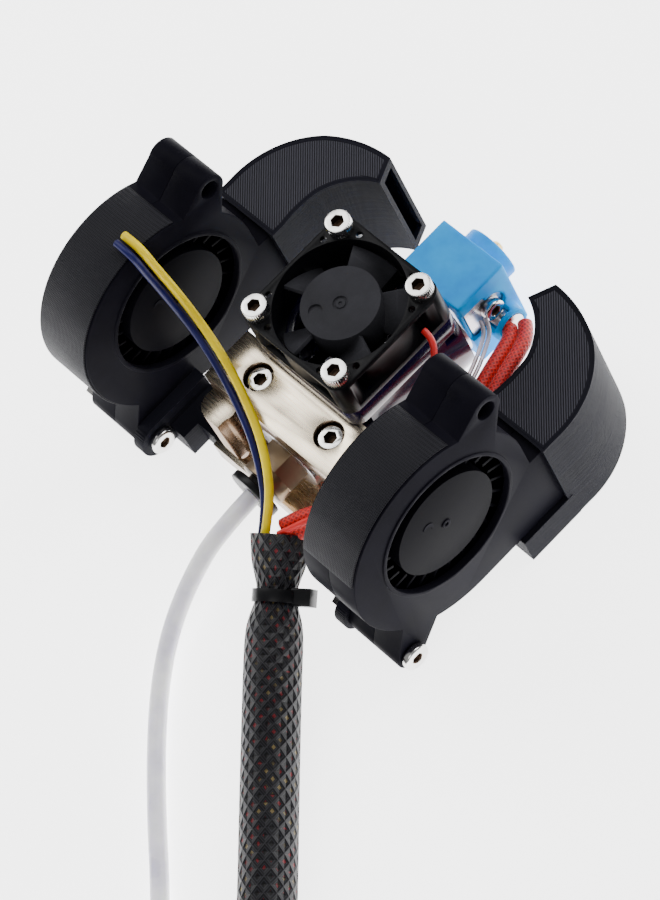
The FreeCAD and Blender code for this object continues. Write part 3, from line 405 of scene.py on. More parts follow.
def plated_metal(name, colour, painted_side_shade, roughness):
    """Warm plate: pale on the faces that look up, brown round the side walls; the brown is painted
    shade, set by which way a face looks and not by the lamps.
    """
    material = new_material(name, colour, roughness, 1.0)
    surface = add_node(material, "ShaderNodeNewGeometry")
    parts = add_node(material, "ShaderNodeSeparateXYZ")
    wire(material, surface.outputs["True Normal"], parts.inputs["Vector"])
    shade_by_facing = add_node(material, "ShaderNodeMapRange")
    shade_by_facing.inputs["From Min"].default_value = 0.25
    shade_by_facing.inputs["From Max"].default_value = 0.85
    wire(material, parts.outputs["Z"], shade_by_facing.inputs["Value"])
    marks = noise(material, coordinates(material, (0.08, 1.4, 1.4)), 1.4, 3)
    cloud = noise(material, coordinates(material), 0.15, 3)
    pale = ramp(material, cloud, [(0.3, shade(colour, 0.85)), (0.65, colour)])
    # Side walls get the brown painted shade, up-facing faces get the pale plate.
    set_colour(material, mix_colours(material, shade_by_facing.outputs["Result"], painted_side_shade, pale))
    set_roughness(material, span_value(material, marks, roughness - 0.06, roughness + 0.12))
    set_relief(material, marks, 0.005 * MM, 0.6)
    return material


def printed_plastic(name, colour):
    """Printed plastic: its layers show as fine lines round the side walls."""
    material = new_material(name, colour, 0.45, Specular_IOR_Level=0.03)
    layers = bands(material, coordinates(material), 0.4, "Z", 0.15)
    coarse = noise(material, coordinates(material, (0.02, 0.02, 1)), 0.9, 3)
    crest = calculate(material, "ADD", calculate(material, "MULTIPLY", layers, 0.6), coarse)
    set_colour(material, ramp(material, coarse, [(0.3, shade(colour, 0.7)),
                                                 (0.7, shade(colour, 1.4))]))
    set_roughness(material, span_value(material, coarse, 0.34, 0.56))
    set_relief(material, crest, 0.16 * MM, 0.8)
    return material


def printed_raster(name, colour):
    """The top of a print: slanting strands side by side, with dark gaps between them; their colour
    follows their height, so the gaps' darkness is painted shade and the crests carry a painted
    highlight.
    """
    material = new_material(name, colour, 0.45, Specular_IOR_Level=0.15)
    place = coordinates(material, turn=(0, 0, -46))
    strands = bands(material, place, 0.5)
    cloud = noise(material, coordinates(material), 0.8, 3)
    beads = noise(material, coordinates(material, (3.2, 0.35, 1), (0, 0, -46)), 1.0, 2)
    crest = calculate(material, "MULTIPLY", calculate(material, "POWER", strands, 0.5),
                      span_value(material, beads, 0.7, 1.15))
    # Painted shade in the gaps (0.12 of the colour) and a painted highlight on the crests (1.9 of
    # it).
    set_colour(material, ramp(material, crest, [(0.15, shade(colour, 0.12)),
                                                (0.45, shade(colour, 1.0)),
                                                (0.85, shade(colour, 1.9))]))
    set_roughness(material, span_value(material, cloud, 0.38, 0.55))
    set_relief(material, crest, 0.3 * MM, 0.9)
    return material


def woven_tape(name, colour):
    """Cloth tape: an even plain weave under a thin gloss of adhesive."""
    material = new_material(name, colour, 0.55, Specular_IOR_Level=0.12)
    place = coordinates(material)
    across = bands(material, place, 0.42, "X", 0.4)
    along = bands(material, coordinates(material, turn=(45, 0, 0)), 0.42, "Y", 0.4)
    weave = calculate(material, "MAXIMUM", across, along)
    wrinkle = noise(material, coordinates(material, (0.35, 1, 1)), 0.22, 4)
    height = calculate(material, "ADD", calculate(material, "MULTIPLY", weave, 0.35), wrinkle)
    # The weave's colour follows its height: painted shade in the dips and a painted highlight on
    # the raised threads.
    set_colour(material, ramp(material, weave, [(0.2, shade(colour, 0.55)),
                                                (0.9, shade(colour, 1.5))]))
    set_roughness(material, span_value(material, wrinkle, 0.42, 0.68))
    set_relief(material, height, 0.25 * MM, 0.8)
    return material


def braided_sleeve(name, colour, glimpse, glimpse_two, around, pitch):
    """Crossing yarns that follow the tube: U runs round it, V along it in millimetres."""
    material = new_material(name, colour, 0.42, Specular_IOR_Level=0.25)
    origin = add_node(material, "ShaderNodeUVMap", uv_map="UVMap")
    parts = add_node(material, "ShaderNodeSeparateXYZ")
    wire(material, origin.outputs["UV"], parts.inputs["Vector"])
    turn = calculate(material, "MULTIPLY", parts.outputs["X"], around)
    rise = calculate(material, "DIVIDE", parts.outputs["Y"], pitch)
    heights = []
    for operation in ("ADD", "SUBTRACT"):
        phase = calculate(material, operation, turn, rise)
        swing = calculate(material, "PINGPONG", phase, 0.5)
        heights.append(calculate(material, "MULTIPLY", swing, 2.0))
    over = calculate(material, "MAXIMUM", *heights)
    strip = calculate(material, "SINE", calculate(material, "MULTIPLY", over, 14.0), 0.0)
    gap = calculate(material, "LESS_THAN", over, 0.34)
    under = noise(material, coordinates(material), 0.25, 1)
    # The gaps show the sleeve's inside as painted shade, at a third of the yarn colour, with
    # glimpses of the leads' own colours.
    inner = ramp(material, under, [(0.46, shade(colour, 0.3)), (0.53, glimpse),
                                   (0.57, shade(colour, 0.3)), (0.68, glimpse_two)])
    # Bright streaks along the yarns, up to three times their colour: painted highlights.
    yarn = ramp(material, strip, [(0.2, shade(colour, 0.8)), (0.9, shade(colour, 3.0))])
    set_colour(material, mix_colours(material, gap, yarn, inner))
    set_relief(material, over, 0.7 * MM, 0.9)
    return material


def glass_sleeving(name, colour):
    """Tight woven sleeving: fine crossing yarns that follow the lead."""
    material = new_material(name, colour, 0.45, Sheen_Weight=0.2)
    origin = add_node(material, "ShaderNodeUVMap", uv_map="UVMap")
    parts = add_node(material, "ShaderNodeSeparateXYZ")
    wire(material, origin.outputs["UV"], parts.inputs["Vector"])
    turn = calculate(material, "MULTIPLY", parts.outputs["X"], 9.0)
    rise = calculate(material, "DIVIDE", parts.outputs["Y"], 1.1)
    yarns = [calculate(material, "PINGPONG", calculate(material, operation, turn, rise), 0.5)
             for operation in ("ADD", "SUBTRACT")]
    over = calculate(material, "MULTIPLY", calculate(material, "MAXIMUM", *yarns), 2.0)
    # The colour follows the yarns' height: painted shade between the yarns and a painted highlight
    # on their tops.
    set_colour(material, ramp(material, over, [(0.2, shade(colour, 0.45)),
                                               (0.9, shade(colour, 1.35))]))
    set_relief(material, over, 0.14 * MM, 0.7)
    return material


def make_materials():
    tint = colours()
    plastic = tuple(tint.plastic)
    moulded_plastic("blower plastic", plastic, 0.46, Specular_IOR_Level=0.02)
    # The blower wheels are the housings' plastic at half brightness: painted shade inside the
    # housings.
    moulded_plastic("shaded impeller plastic", shade(plastic, 0.5), 0.5, Specular_IOR_Level=0.03)
    moulded_plastic("fan plastic", (0.0035, 0.0035, 0.0045), 0.34, Specular_IOR_Level=0.1)
    moulded_plastic("fan hub", (0.028, 0.028, 0.033), 0.6, 2.4, 0.06, Specular_IOR_Level=0.1)
    moulded_plastic("coupler plastic", (0.008, 0.008, 0.009), 0.35, Specular_IOR_Level=0.2)
    moulded_plastic("tie plastic", (0.006, 0.006, 0.007), 0.32, Specular_IOR_Level=0.2)
    moulded_plastic("connector plastic", (0.78, 0.77, 0.72), 0.4)
    moulded_plastic("seal rubber", (0.01, 0.01, 0.01), 0.6)
    moulded_plastic("shroud gloss", (0.008, 0.004, 0.040), 0.16, 0.6, 0.01, Coat_Weight=0.25,
                    Coat_Roughness=0.08)
    printed_plastic("printed plastic", (0.008, 0.008, 0.012))
    # The top is set about three times lighter than the side walls of the same print: painted light
    # on the up-facing top.
    printed_raster("printed raster", (0.026, 0.026, 0.034))
    woven_tape("cloth tape", (0.010, 0.010, 0.013))
    plated = tuple(tint.plating)
    # The brown here is the painted shade on the clamp's side walls.
    plated_metal("nickel plate", plated, (0.26, 0.185, 0.13), 0.24)
    brushed_metal("machined aluminium", (0.80, 0.80, 0.82), 0.28, (1.2, 0.1, 1.2))
    brushed_metal("stainless screw", (0.80, 0.79, 0.77), 0.16, (1, 1, 0.2), 0.01)
    # Dark brown painted shade for the hex sockets, which are the screws' own stainless steel.
    brushed_metal("painted socket shade", (0.10, 0.065, 0.045), 0.45, (1, 1, 0.4), 0.02)
    brushed_metal("plated brass", (0.36, 0.27, 0.18), 0.4, (0.15, 1.6, 1.6), 0.02)
    brushed_metal("brass", (0.72, 0.52, 0.22), 0.25, (1.2, 0.1, 1.2))
    brushed_metal("copper winding", (0.62, 0.28, 0.13), 0.35, (1, 1, 4), 0.08)
    silicone = moulded_plastic("blue silicone", tuple(tint.sleeve), 0.42, 0.5, 0.05,
                               Subsurface_Weight=0.15, Subsurface_Scale=0.0015,
                               Specular_IOR_Level=0.1)
    shader_of(silicone).inputs["Subsurface Radius"].default_value = (0.3, 0.7, 1.0)
    tube = moulded_plastic("milky tube", (0.90, 0.88, 0.99), 0.28, 0.4, 0.02,
                           Subsurface_Weight=0.5, Subsurface_Scale=0.003)
    shader_of(tube).inputs["Subsurface Radius"].default_value = (0.9, 0.85, 1.0)
    moulded_plastic("yellow lead", tuple(tint.yellow), 0.38, 1.0, 0.02,
                    Specular_IOR_Level=0.25)
    moulded_plastic("blue lead", tuple(tint.blue), 0.38, 1.0, 0.02,
                    Specular_IOR_Level=0.25)
    moulded_plastic("red lead", (0.62, 0.012, 0.012), 0.35, 1.0, 0.02)
    moulded_plastic("clear lead", (0.55, 0.48, 0.49), 0.2, 1.0, 0.02, Transmission_Weight=0.5)
    glass_sleeving("red fibreglass", (0.62, 0.010, 0.006))
    braided_sleeve("black braid", (0.008, 0.008, 0.010), (0.16, 0.010, 0.016),
                   (0.16, 0.12, 0.05), 14.0, 3.4)


def finish_of(name):
    return MATERIALS[name]


# ------------------------------------------------------------------ cords

def shifted(route):
    return [Vector((x, y + ROUTE_SHIFT, z)) for x, y, z in route]


def coil_points(centre, radius, start, turn, low, layer, ramp_from, ramp_to, per_turn=18):
    """Control points of flat turns, one layer on the last, joined by one ramp."""
    way = 1 if turn > 0 else -1
    step = 360 / per_turn
    count = int(abs(turn) / step)
    reach = radius / math.cos(math.pi / per_turn)
    middle = centre + Vector((0, ROUTE_SHIFT, 0))
    points = []
    for index in range(count + 1):
        gone = min(index * step + step / 2, abs(turn))
        angle = math.radians(start + way * gone)
        climb = min(1.0, max(0.0, (gone - ramp_from) / (ramp_to - ramp_from)))
        height = low + layer * climb * climb * (3 - 2 * climb)
        points.append(middle + Vector((reach * math.cos(angle), reach * math.sin(angle),
                                       height)))
    return points


def spline_curve(name, points, diameter, material=None):
    """A curve of one open spline through soft control points, with a round section."""
    data = bpy.data.curves.new(name, "CURVE")
    data.dimensions = "3D"
    data.resolution_u = 10
    data.bevel_depth = diameter / 2
    data.bevel_resolution = 6
    data.use_fill_caps = True
    spline = data.splines.new("NURBS")
    spline.points.add(len(points) - 1)
    for point, place in zip(spline.points, points):
        point.co = (*place, 1)
    spline.order_u = 3
    spline.use_endpoint_u = True
    obj = bpy.data.objects.new(name, data)
    bpy.context.collection.objects.link(obj)
    if material is not None:
        data.materials.append(material)
    return obj


def line_of(points):
    """Points along the smooth line that the control points give."""
    guide = spline_curve("guide", points, 0)
    guide.data.use_fill_caps = False
    bpy.context.view_layer.update()
    depsgraph = bpy.context.evaluated_depsgraph_get()
    mesh = bpy.data.meshes.new_from_object(guide.evaluated_get(depsgraph))
    line = [vertex.co.copy() for vertex in mesh.vertices]
    bpy.data.meshes.remove(mesh)
    bpy.data.objects.remove(guide)
    return line


def length_of(line):
    return sum((after - before).length for before, after in zip(line, line[1:]))


def tube_mesh(name, line, radius_at, sides=28):
    """A tube round a line, its radius given along its length, with U round and V along."""
    vertices, faces, lengths = [], [], [0.0]
    for before, after in zip(line, line[1:]):
        lengths.append(lengths[-1] + (after - before).length)
    side = None
    for index, centre in enumerate(line):
        ahead = line[min(index + 1, len(line) - 1)] - line[max(index - 1, 0)]
        ahead.normalize()
        if side is None:
            side = ahead.cross(Vector((0, 0, 1))).normalized()
        side = (side - ahead * side.dot(ahead)).normalized()
        other = ahead.cross(side)
        radius = radius_at(lengths[index])
        for count in range(sides):
            angle = 2 * math.pi * count / sides
            vertices.append(centre + (side * math.cos(angle) + other * math.sin(angle)) * radius)
    for index in range(len(line) - 1):
        for count in range(sides):
            following = (count + 1) % sides
            faces.append((index * sides + count, index * sides + following,
                          (index + 1) * sides + following, (index + 1) * sides + count))
    ends = [tuple(reversed(range(sides))),
            tuple((len(line) - 1) * sides + count for count in range(sides))]
    mesh = bpy.data.meshes.new(name)
    mesh.from_pydata([tuple(vertex) for vertex in vertices], [], faces + ends)
    uv = mesh.uv_layers.new(name="UVMap")
    for face in mesh.polygons[:len(faces)]:
        row, column = divmod(face.index, sides)
        corners = ((column, row), (column + 1, row), (column + 1, row + 1), (column, row + 1))
        for loop, (round_step, along_step) in zip(face.loop_indices, corners):
            uv.data[loop].uv = (round_step / sides, lengths[along_step] / MM)
    obj = bpy.data.objects.new(name, mesh)
    bpy.context.collection.objects.link(obj)
    only(obj)
    bpy.ops.object.shade_smooth_by_angle(angle=math.radians(60))
    return obj


def make_tube():
    diameter = sizes().tube_diameter
    points = shifted(TUBE_ROUTE)
    points += coil_points(TUBE_COIL, 0.020, 216, -690, 0.002, 0.004, 285, 350)
    tube = spline_curve("filament_tube", points, diameter, finish_of("milky tube"))
    settle(tube, None, replaces=("bowden_tube", "tube_coil"))
    length = length_of(line_of(points))


def make_loom():
    diameter = sizes().loom_diameter
    points = shifted(LOOM_ROUTE)
    points += coil_points(LOOM_COIL, 0.0505, 45.6, 607, 0.006, 0.012, 275, 345)
    line = line_of(points)
    waist = 8.2 * MM / 2

    def radius_at(length):
        """A little wider at the mouth, drawn in by the tie, full beyond it."""
        near = math.exp(-((length - LOOM_TIE_AT) / (5 * MM)) ** 2)
        full = diameter / 2
        mouth = 0.3 * MM * math.exp(-length / (2 * MM))
        return full - (full - waist) * near + mouth

    loom = tube_mesh("braided_loom", line, radius_at)
    settle(loom, finish_of("black braid"), replaces=("loom_sleeve", "loom_coil"))


def make_loom_tie():
    """A strap drawn round the sleeve, with its square lock."""
    points = shifted(LOOM_ROUTE)
    line = line_of(points)
    gone = 0.0
    for before, after in zip(line, line[1:]):
        gone += (after - before).length
        if gone > LOOM_TIE_AT:
            break
    ahead = (after - before).normalized()
    band = cylinder(5.0 * MM, 2.6 * MM, after, ahead, 40, "loom_tie_band")
    carve(band, cylinder(4.1 * MM, 6 * MM, after, ahead, 40))
    aside = ahead.cross(Vector((0, 0, 1))).normalized()
    lock = cuboid((-2.2 * MM, -1.8 * MM, -2.0 * MM), (2.2 * MM, 1.8 * MM, 2.2 * MM), "lock")
    frame_turn = Matrix((aside.cross(ahead), ahead, aside)).transposed().to_4x4()
    lock.matrix_world = Matrix.Translation(after - aside * 5.9 * MM) @ frame_turn
    set_place(lock)
    carve(band, lock, "UNION")
    round_edges(band, 0.2 * MM)
    settle(band, finish_of("tie plastic"), replaces=("loom_tie",))


def make_coil_ties():
    """Flat straps round the stacked turns."""
    source = copy_of("coil_ties", "coil_ties_all")
    only(source)
    bpy.ops.object.mode_set(mode="EDIT")
    bpy.ops.mesh.select_all(action="SELECT")
    bpy.ops.mesh.separate(type="LOOSE")
    bpy.ops.object.mode_set(mode="OBJECT")
    found = sorted(bpy.context.selected_objects, key=lambda obj: obj.bound_box[0][0])
    names = ["loom_coil_tie_1", "loom_coil_tie_2", "tube_coil_tie"]
    for obj, name in zip(found, names):
        obj.name = name
        round_edges(obj, 0.3 * MM)
        settle(obj, finish_of("tie plastic"), replaces=("coil_ties",))


def make_connector():
    """The plug housing on the loom's end, with its edges rounded."""
    plug = copy_of("loom_connector", "loom_plug")
    round_edges(plug, 0.5 * MM)
    settle(plug, finish_of("connector plastic"),
           replaces=("loom_connector",))


def beside(points, apart):
    """The same route moved to one side, in plan."""
    moved = []
    for count, point in enumerate(points):
        way = points[min(count + 1, len(points) - 1)] - points[max(count - 1, 0)]
        moved.append(point + Vector((-way.y, way.x, 0)).normalized() * apart)
    return moved


def make_lead(name, points, diameter, finish, node):
    lead = spline_curve(name, points, diameter, finish_of(finish))
    return settle(lead, None, replaces=(node,))


def make_leads():
    for name, route, diameter, finish, node in (
            ("yellow_lead", YELLOW_ROUTE, 1.9 * MM, "yellow lead", "lead_yellow"),
            ("blue_lead", BLUE_ROUTE, 1.6 * MM, "blue lead", "lead_blue")):
        points = shifted(route)
        lead = make_lead(name, points, diameter, finish, node)
        round(length_of(line_of(points)), 4)
    for name, apart in (("heater_lead_inner", 1.65 * MM), ("heater_lead_outer", -1.65 * MM)):
        line = line_of(beside(shifted(HEATER_ROUTE), apart))
        lead = tube_mesh(name, line, lambda length: 1.6 * MM, 20)
        settle(lead, finish_of("red fibreglass"), replaces=("heater_leads",))
    make_lead("fan_lead_red", shifted(FAN_LEAD_ROUTE), 1.4 * MM, "red lead", "fan_lead")
    for name, apart in (("sensor_lead_inner", 0.6 * MM), ("sensor_lead_outer", -0.6 * MM)):
        make_lead(name, beside(shifted(THERMISTOR_ROUTE), apart), 0.9 * MM, "clear lead",
                  "thermistor_leads")


# ------------------------------------------------------------------ screws

def screw_mesh(name, head, deep, key, long, shank=1.5 * MM, dome=False):
    """A socket screw standing on the origin, its shank below."""
    body = cylinder(head, deep, (0, 0, deep / 2), sides=72, name=name)
    paint(body, finish_of("stainless screw"))
    if not dome:
        knurl(body, head)
    carve(body, cylinder(shank, long, (0, 0, -long / 2 + 0.1 * MM), sides=32), "UNION")
    # The hex socket's faces take the dark painted shade.
    recess = cylinder(key, deep * 1.3, (0, 0, deep), sides=6)
    paint(recess, finish_of("painted socket shade"))
    carve(body, recess)
    round_edges(body, (0.75 if dome else 0.28) * MM, 4 if dome else 3, 50)
    return body


def knurl(body, head):
    """Pull every other pair of side points in, to cut straight grooves."""
    only(body)
    bpy.ops.object.mode_set(mode="EDIT")
    bpy.ops.mesh.select_all(action="DESELECT")
    bpy.ops.object.mode_set(mode="OBJECT")
    for vertex in body.data.vertices:
        angle = math.degrees(math.atan2(vertex.co.y, vertex.co.x)) % 360
        vertex.select = round(angle / 5) % 2 == 0 and vertex.co.xy.length > head * 0.9
    bpy.ops.object.mode_set(mode="EDIT")
    bpy.ops.transform.resize(value=(0.955, 0.955, 1))
    bpy.ops.object.mode_set(mode="OBJECT")


def place_screws(source, node, places, axis):
    """Copies of one screw at several places, joined as one piece."""
    turn = Vector((0, 0, 1)).rotation_difference(Vector(axis)).to_matrix().to_4x4()
    copies = [moved_copy(source, Matrix.Translation(Vector(place)) @ turn, node + "_set")
              for place in places]
    obj = join(copies[0], *copies[1:]) if len(copies) > 1 else copies[0]
    obj.name = node + "_set"
    smooth(obj, 40)
    return settle(obj, None, replaces=(node,))


def corner_places(node, height, reach=2.75 * MM):
    low, high = [Vector(corner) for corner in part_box(node)]
    return [(x, y, height) for x in (low.x + reach, high.x - reach)
            for y in (low.y + reach, high.y - reach)]


def make_screws():
    fan_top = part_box("fan_frame")[1][2]
    cap = screw_mesh("cap_screw", 2.75 * MM, 3 * MM, 1.44 * MM, 14.8 * MM)
    place_screws(cap, "fan_screws", corner_places("fan_screws", fan_top), (0, 0, 1))
    low, high = [Vector(corner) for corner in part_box("clamp_screws")]
    middle = (low.y + high.y) / 2
    seat = high.z - 3 * MM
    place_screws(cap, "clamp_screws", [(low.x + 2.75 * MM, middle, seat),
                                       (high.x - 2.75 * MM, middle, seat)], (0, 0, 1))
    bpy.data.objects.remove(cap)
    button = screw_mesh("button_screw", 3 * MM, 1.9 * MM, 1.2 * MM, 20.8 * MM, dome=True)
    low, high = [Vector(corner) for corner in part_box("blower_screws")]
    middle = (low + high) / 2
    ear_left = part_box("bracket_left")[1][0] - 3 * MM
    place_screws(button, "blower_screws", [(low.x + 1.9 * MM, middle.y, middle.z),
                                           (ear_left, middle.y, middle.z)], (-1, 0, 0))
    bpy.data.objects.remove(button)
    small = screw_mesh("clip_screw", 2.5 * MM, 2.2 * MM, 1.2 * MM, 2.4 * MM, dome=True)
    low, high = [Vector(corner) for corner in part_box("thermistor_screw")]
    middle = (low + high) / 2
    place_screws(small, "thermistor_screw", [(low.x + 2.2 * MM, middle.y, middle.z)],
                 (-1, 0, 0))
    bpy.data.objects.remove(small)


# ------------------------------------------------------------------ fans and blowers

def make_fan():
    edge = sizes().edge
    softened("fan_frame", "fan_housing", edge * 0.7, finish_of("fan plastic"))
    wheel = copy_of("fan_rotor", "fan_wheel_blades")
    low, high = [Vector(corner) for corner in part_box("fan_shaft")]
    centre = (low + high) / 2
    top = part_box("fan_rotor")[1][2]
    mark = cylinder(1.5 * MM, 1 * MM, (centre.x + 2.9 * MM, centre.y + 4.4 * MM, top), sides=32)
    carve(mark, cylinder(1.5 * MM, 3 * MM, (centre.x + 2.1 * MM, centre.y + 5.0 * MM, top),
                         sides=32))
    carve(wheel, mark)
    round_edges(wheel, 0.15 * MM, angle=40)
    settle(wheel, finish_of("fan hub"), "fan_wheel", ("fan_rotor",))
    boss = cylinder(1.05 * MM, 0.4 * MM, (centre.x, centre.y, top - 0.35 * MM), sides=32,
                    name="fan_bearing_cap")
    carve(boss, cylinder(0.4 * MM, 2 * MM, (centre.x, centre.y, top), sides=24))
    round_edges(boss, 0.08 * MM)
    settle(boss, finish_of("fan hub"), "fan_wheel")
    softened("fan_shroud", "shroud", edge, finish_of("shroud gloss"))


def make_blowers():
    edge = sizes().edge
    for word in ("left", "right"):
        body = word + "_wheel"
        for part in ("cover", "housing"):
            node = "blower_%s_%s" % (word, part)
            softened(node, node + "_shell", edge * 1.2, finish_of("blower plastic"))
        node = "blower_%s_impeller" % word
        wheel = copy_of(node, node + "_wheel")
        low, high = [Vector(corner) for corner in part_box("blower_%s_shaft" % word)]
        mid_y, mid_z = (low.y + high.y) / 2, (low.z + high.z) / 2
        face = min(side.center.x for side in wheel.data.polygons
                   if (side.center.yz - Vector((mid_y, mid_z))).length < 6 * MM)
        mark = cylinder(1.3 * MM, 0.3 * MM, (face, mid_y + 3.6 * MM, mid_z + 3.6 * MM),
                        (1, 0, 0), 32, "blower_%s_hub_mark" % word)
        carve(mark, cylinder(1.3 * MM, 2 * MM, (face, mid_y + 4.2 * MM, mid_z + 2.9 * MM),
                             (1, 0, 0), 32))
        settle(mark, finish_of("blower plastic"), body)
        wheel = round_edges(wheel, 0.12 * MM, angle=50)
        # The wheel's darker plastic is painted shade inside the housing.
        settle(wheel, finish_of("shaded impeller plastic"), body, (node,))
        boss = cylinder(1.1 * MM, 0.5 * MM, (face, mid_y, mid_z), (1, 0, 0), 32,
                        "blower_%s_bearing_cap" % word)
        carve(boss, cylinder(0.45 * MM, 2 * MM, (face, mid_y, mid_z), (1, 0, 0), 24))
        round_edges(boss, 0.08 * MM)
        settle(boss, finish_of("blower plastic"), body)
        node = "blower_%s_tape" % word
        softened(node, node + "_strip", 0.1 * MM, finish_of("cloth tape"))


# ------------------------------------------------------------------ clamp, sink and hot end

def make_clamp():
    edge = sizes().metal_edge
    softened("clamp_front_plate", "front_plate", edge, finish_of("nickel plate"))
    softened("clamp_rear_body", "rear_body", edge, finish_of("nickel plate"))
    softened("heat_sink", "finned_sink", 0.1 * MM, finish_of("machined aluminium"))
    softened("coupler_body", "coupler_hex", 0.25 * MM, finish_of("plated brass"))
    softened("coupler_collet", "collet_ring", 0.3 * MM, finish_of("coupler plastic"),
             "collet")


def make_hot_end():
    softened("heater_block", "block", 0.2 * MM, finish_of("machined aluminium"))
    softened("nozzle", "nozzle_tip", 0.1 * MM, finish_of("brass"))
    sock = copy_of("silicone_sock", "block_sleeve")
    remesh = sock.modifiers.new("remesh", "REMESH")
    remesh.mode = "VOXEL"
    remesh.voxel_size = 0.28 * MM
    relax = sock.modifiers.new("relax", "SMOOTH")
    relax.factor = 0.5
    relax.iterations = 5
    apply_all(sock)
    smooth(sock, 70)
    settle(sock, finish_of("blue silicone"), replaces=("silicone_sock",))


def outline_top(obj, height):
    """Two printed perimeter lines round the top face, with the raster inside them."""
    obj.data.materials.append(finish_of("printed raster"))
    raster = len(obj.data.materials) - 1
    only(obj)
    bpy.ops.object.mode_set(mode="EDIT")
    bpy.ops.mesh.select_all(action="DESELECT")
    bpy.ops.object.mode_set(mode="OBJECT")
    obj.data.polygons.foreach_set("select", [False] * len(obj.data.polygons))
    for face in obj.data.polygons:
        face.select = face.normal.z > 0.99 and abs(face.center.z - height) < 0.05 * MM
    bpy.ops.object.mode_set(mode="EDIT")
    for thickness, depth in ((0.3, 0), (0.1, -0.12), (0.1, 0), (0.1, 0.12), (0.3, 0),
                             (0.1, -0.12), (0.1, 0)):
        bpy.ops.mesh.inset(thickness=thickness * MM, depth=depth * MM)
    bpy.ops.object.mode_set(mode="OBJECT")
    for face in obj.data.polygons:
        if face.select:
            face.material_index = raster


def make_ducts():
    edge = sizes().edge
    for word in ("left", "right"):
        duct = copy_of("duct_" + word, "air_duct_" + word)
        paint(duct, finish_of("printed plastic"))
        outline_top(duct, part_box("duct_" + word)[1][2])
        smooth(duct)
        settle(duct, None, replaces=("duct_" + word,))
        softened("bracket_" + word, "blower_bracket_" + word, edge,
                 finish_of("printed plastic"))


def paint_frame():
    """Finishes of the CAD nodes that keep their own shape."""
    finishes = {"heat_break": "stainless screw", "heater_cartridge": "stainless screw",
                "fan_stator": "copper winding", "fan_bearing": "brass",
                "fan_shaft": "stainless screw", "coupler_seal": "seal rubber",
                "blower_nuts": "stainless screw", "bracket_screws": "stainless screw",
                "tube_liner": "milky tube"}
    for word in ("left", "right"):
        finishes["blower_%s_stator" % word] = "copper winding"
        finishes["blower_%s_bearing" % word] = "brass"
        finishes["blower_%s_shaft" % word] = "stainless screw"
    for node, finish in finishes.items():
        obj = NODES[node]
        if not obj.material_slots:
            obj.data.materials.append(finish_of(finish))
        for place in obj.material_slots:
            place.material = finish_of(finish)


# ------------------------------------------------------------------ stage

def make_camera():
    data = bpy.data.cameras.new("camera")
    data.sensor_fit = "VERTICAL"
    data.sensor_height = 24
    data.sensor_width = 24
    data.lens = 105.954
    data.clip_start = 0.05
    data.clip_end = 20
    camera = bpy.data.objects.new("camera", data)
    bpy.context.collection.objects.link(camera)
    camera.location = (-0.4181, 0.10852, 0.698)
    camera.rotation_mode = "QUATERNION"
    camera.rotation_quaternion = (-0.346507, -0.222044, 0.163394, 0.896622)
    bpy.context.scene.camera = camera


def soft_light(name, place, target, size, power, colour=(1, 1, 1)):
    data = bpy.data.lights.new(name, "AREA")
    data.shape = "RECTANGLE"
    data.size, data.size_y = size
    data.energy = power
    data.color = colour
    light = bpy.data.objects.new(name, data)
    bpy.context.collection.objects.link(light)
    light.location = place
    light.rotation_mode = "QUATERNION"
    aim = Vector(target) - Vector(place)
    light.rotation_quaternion = aim.to_track_quat("-Z", "Y")
    return light


def make_stage():
    bpy.ops.object.select_all(action="DESELECT")
    bpy.ops.mesh.primitive_plane_add(size=8, location=(0, 0, -0.0004))
    floor = bpy.context.active_object
    floor.name = "floor"
    pale = new_material("studio floor", (0.95, 0.95, 0.95), 0.9, Specular_IOR_Level=0.0,
                        Emission_Strength=3.6)
    shader_of(pale).inputs["Emission Color"].default_value = (1, 1, 1, 1)
    set_colour(pale, ramp(pale, noise(pale, coordinates(pale), 0.01, 2),
                          [(0.2, (0.94, 0.94, 0.945)), (0.8, (0.96, 0.96, 0.96))]))
    paint(floor, pale)
    world = bpy.data.worlds.new("studio")
    world.use_nodes = True
    sky = world.node_tree.nodes["Background"]
    sky.inputs["Color"].default_value = (1, 1, 1, 1)
    sky.inputs["Strength"].default_value = 0.3
    bpy.context.scene.world = world
    soft_light("key", (-0.1, -0.75, 0.8), (0, 0, 0), (0.6, 0.6), 6)
    soft_light("side", (0.75, 0.15, 0.55), (0, 0, 0), (0.5, 0.7), 2.5)
    soft_light("front", (-0.5, 0.6, 0.7), (0, 0, 0), (0.5, 0.5), 2)
    soft_light("plate", (0.45, -0.12, 0.75), (0, 0, 0), (0.5, 0.5), 2.6)


# ------------------------------------------------------------------ operators and panel

class HOTEND_OT_materials(bpy.types.Operator):
    """Make every finish"""
    bl_idname = "hotend.materials"
    bl_label = "Materials"

    def execute(self, context):
        make_materials()
        return {"FINISHED"}


class HOTEND_OT_camera(bpy.types.Operator):
    """Add the camera"""
    bl_idname = "hotend.camera"
    bl_label = "Camera"

    def execute(self, context):
        make_camera()
        return {"FINISHED"}


class HOTEND_OT_coil_ties(bpy.types.Operator):
    """Put straps round the spare loom and tube"""
    bl_idname = "hotend.coil_ties"
    bl_label = "Coil ties"

    def execute(self, context):
        make_coil_ties()
        return {"FINISHED"}


class HOTEND_OT_connector(bpy.types.Operator):
    """Make the plug on the loom's end"""
    bl_idname = "hotend.connector"
    bl_label = "Connector"

    def execute(self, context):
        make_connector()
        return {"FINISHED"}


class HOTEND_OT_loom_tie(bpy.types.Operator):
    """Draw a strap round the loom's mouth"""
    bl_idname = "hotend.loom_tie"
    bl_label = "Loom tie"

    def execute(self, context):
        make_loom_tie()
        return {"FINISHED"}


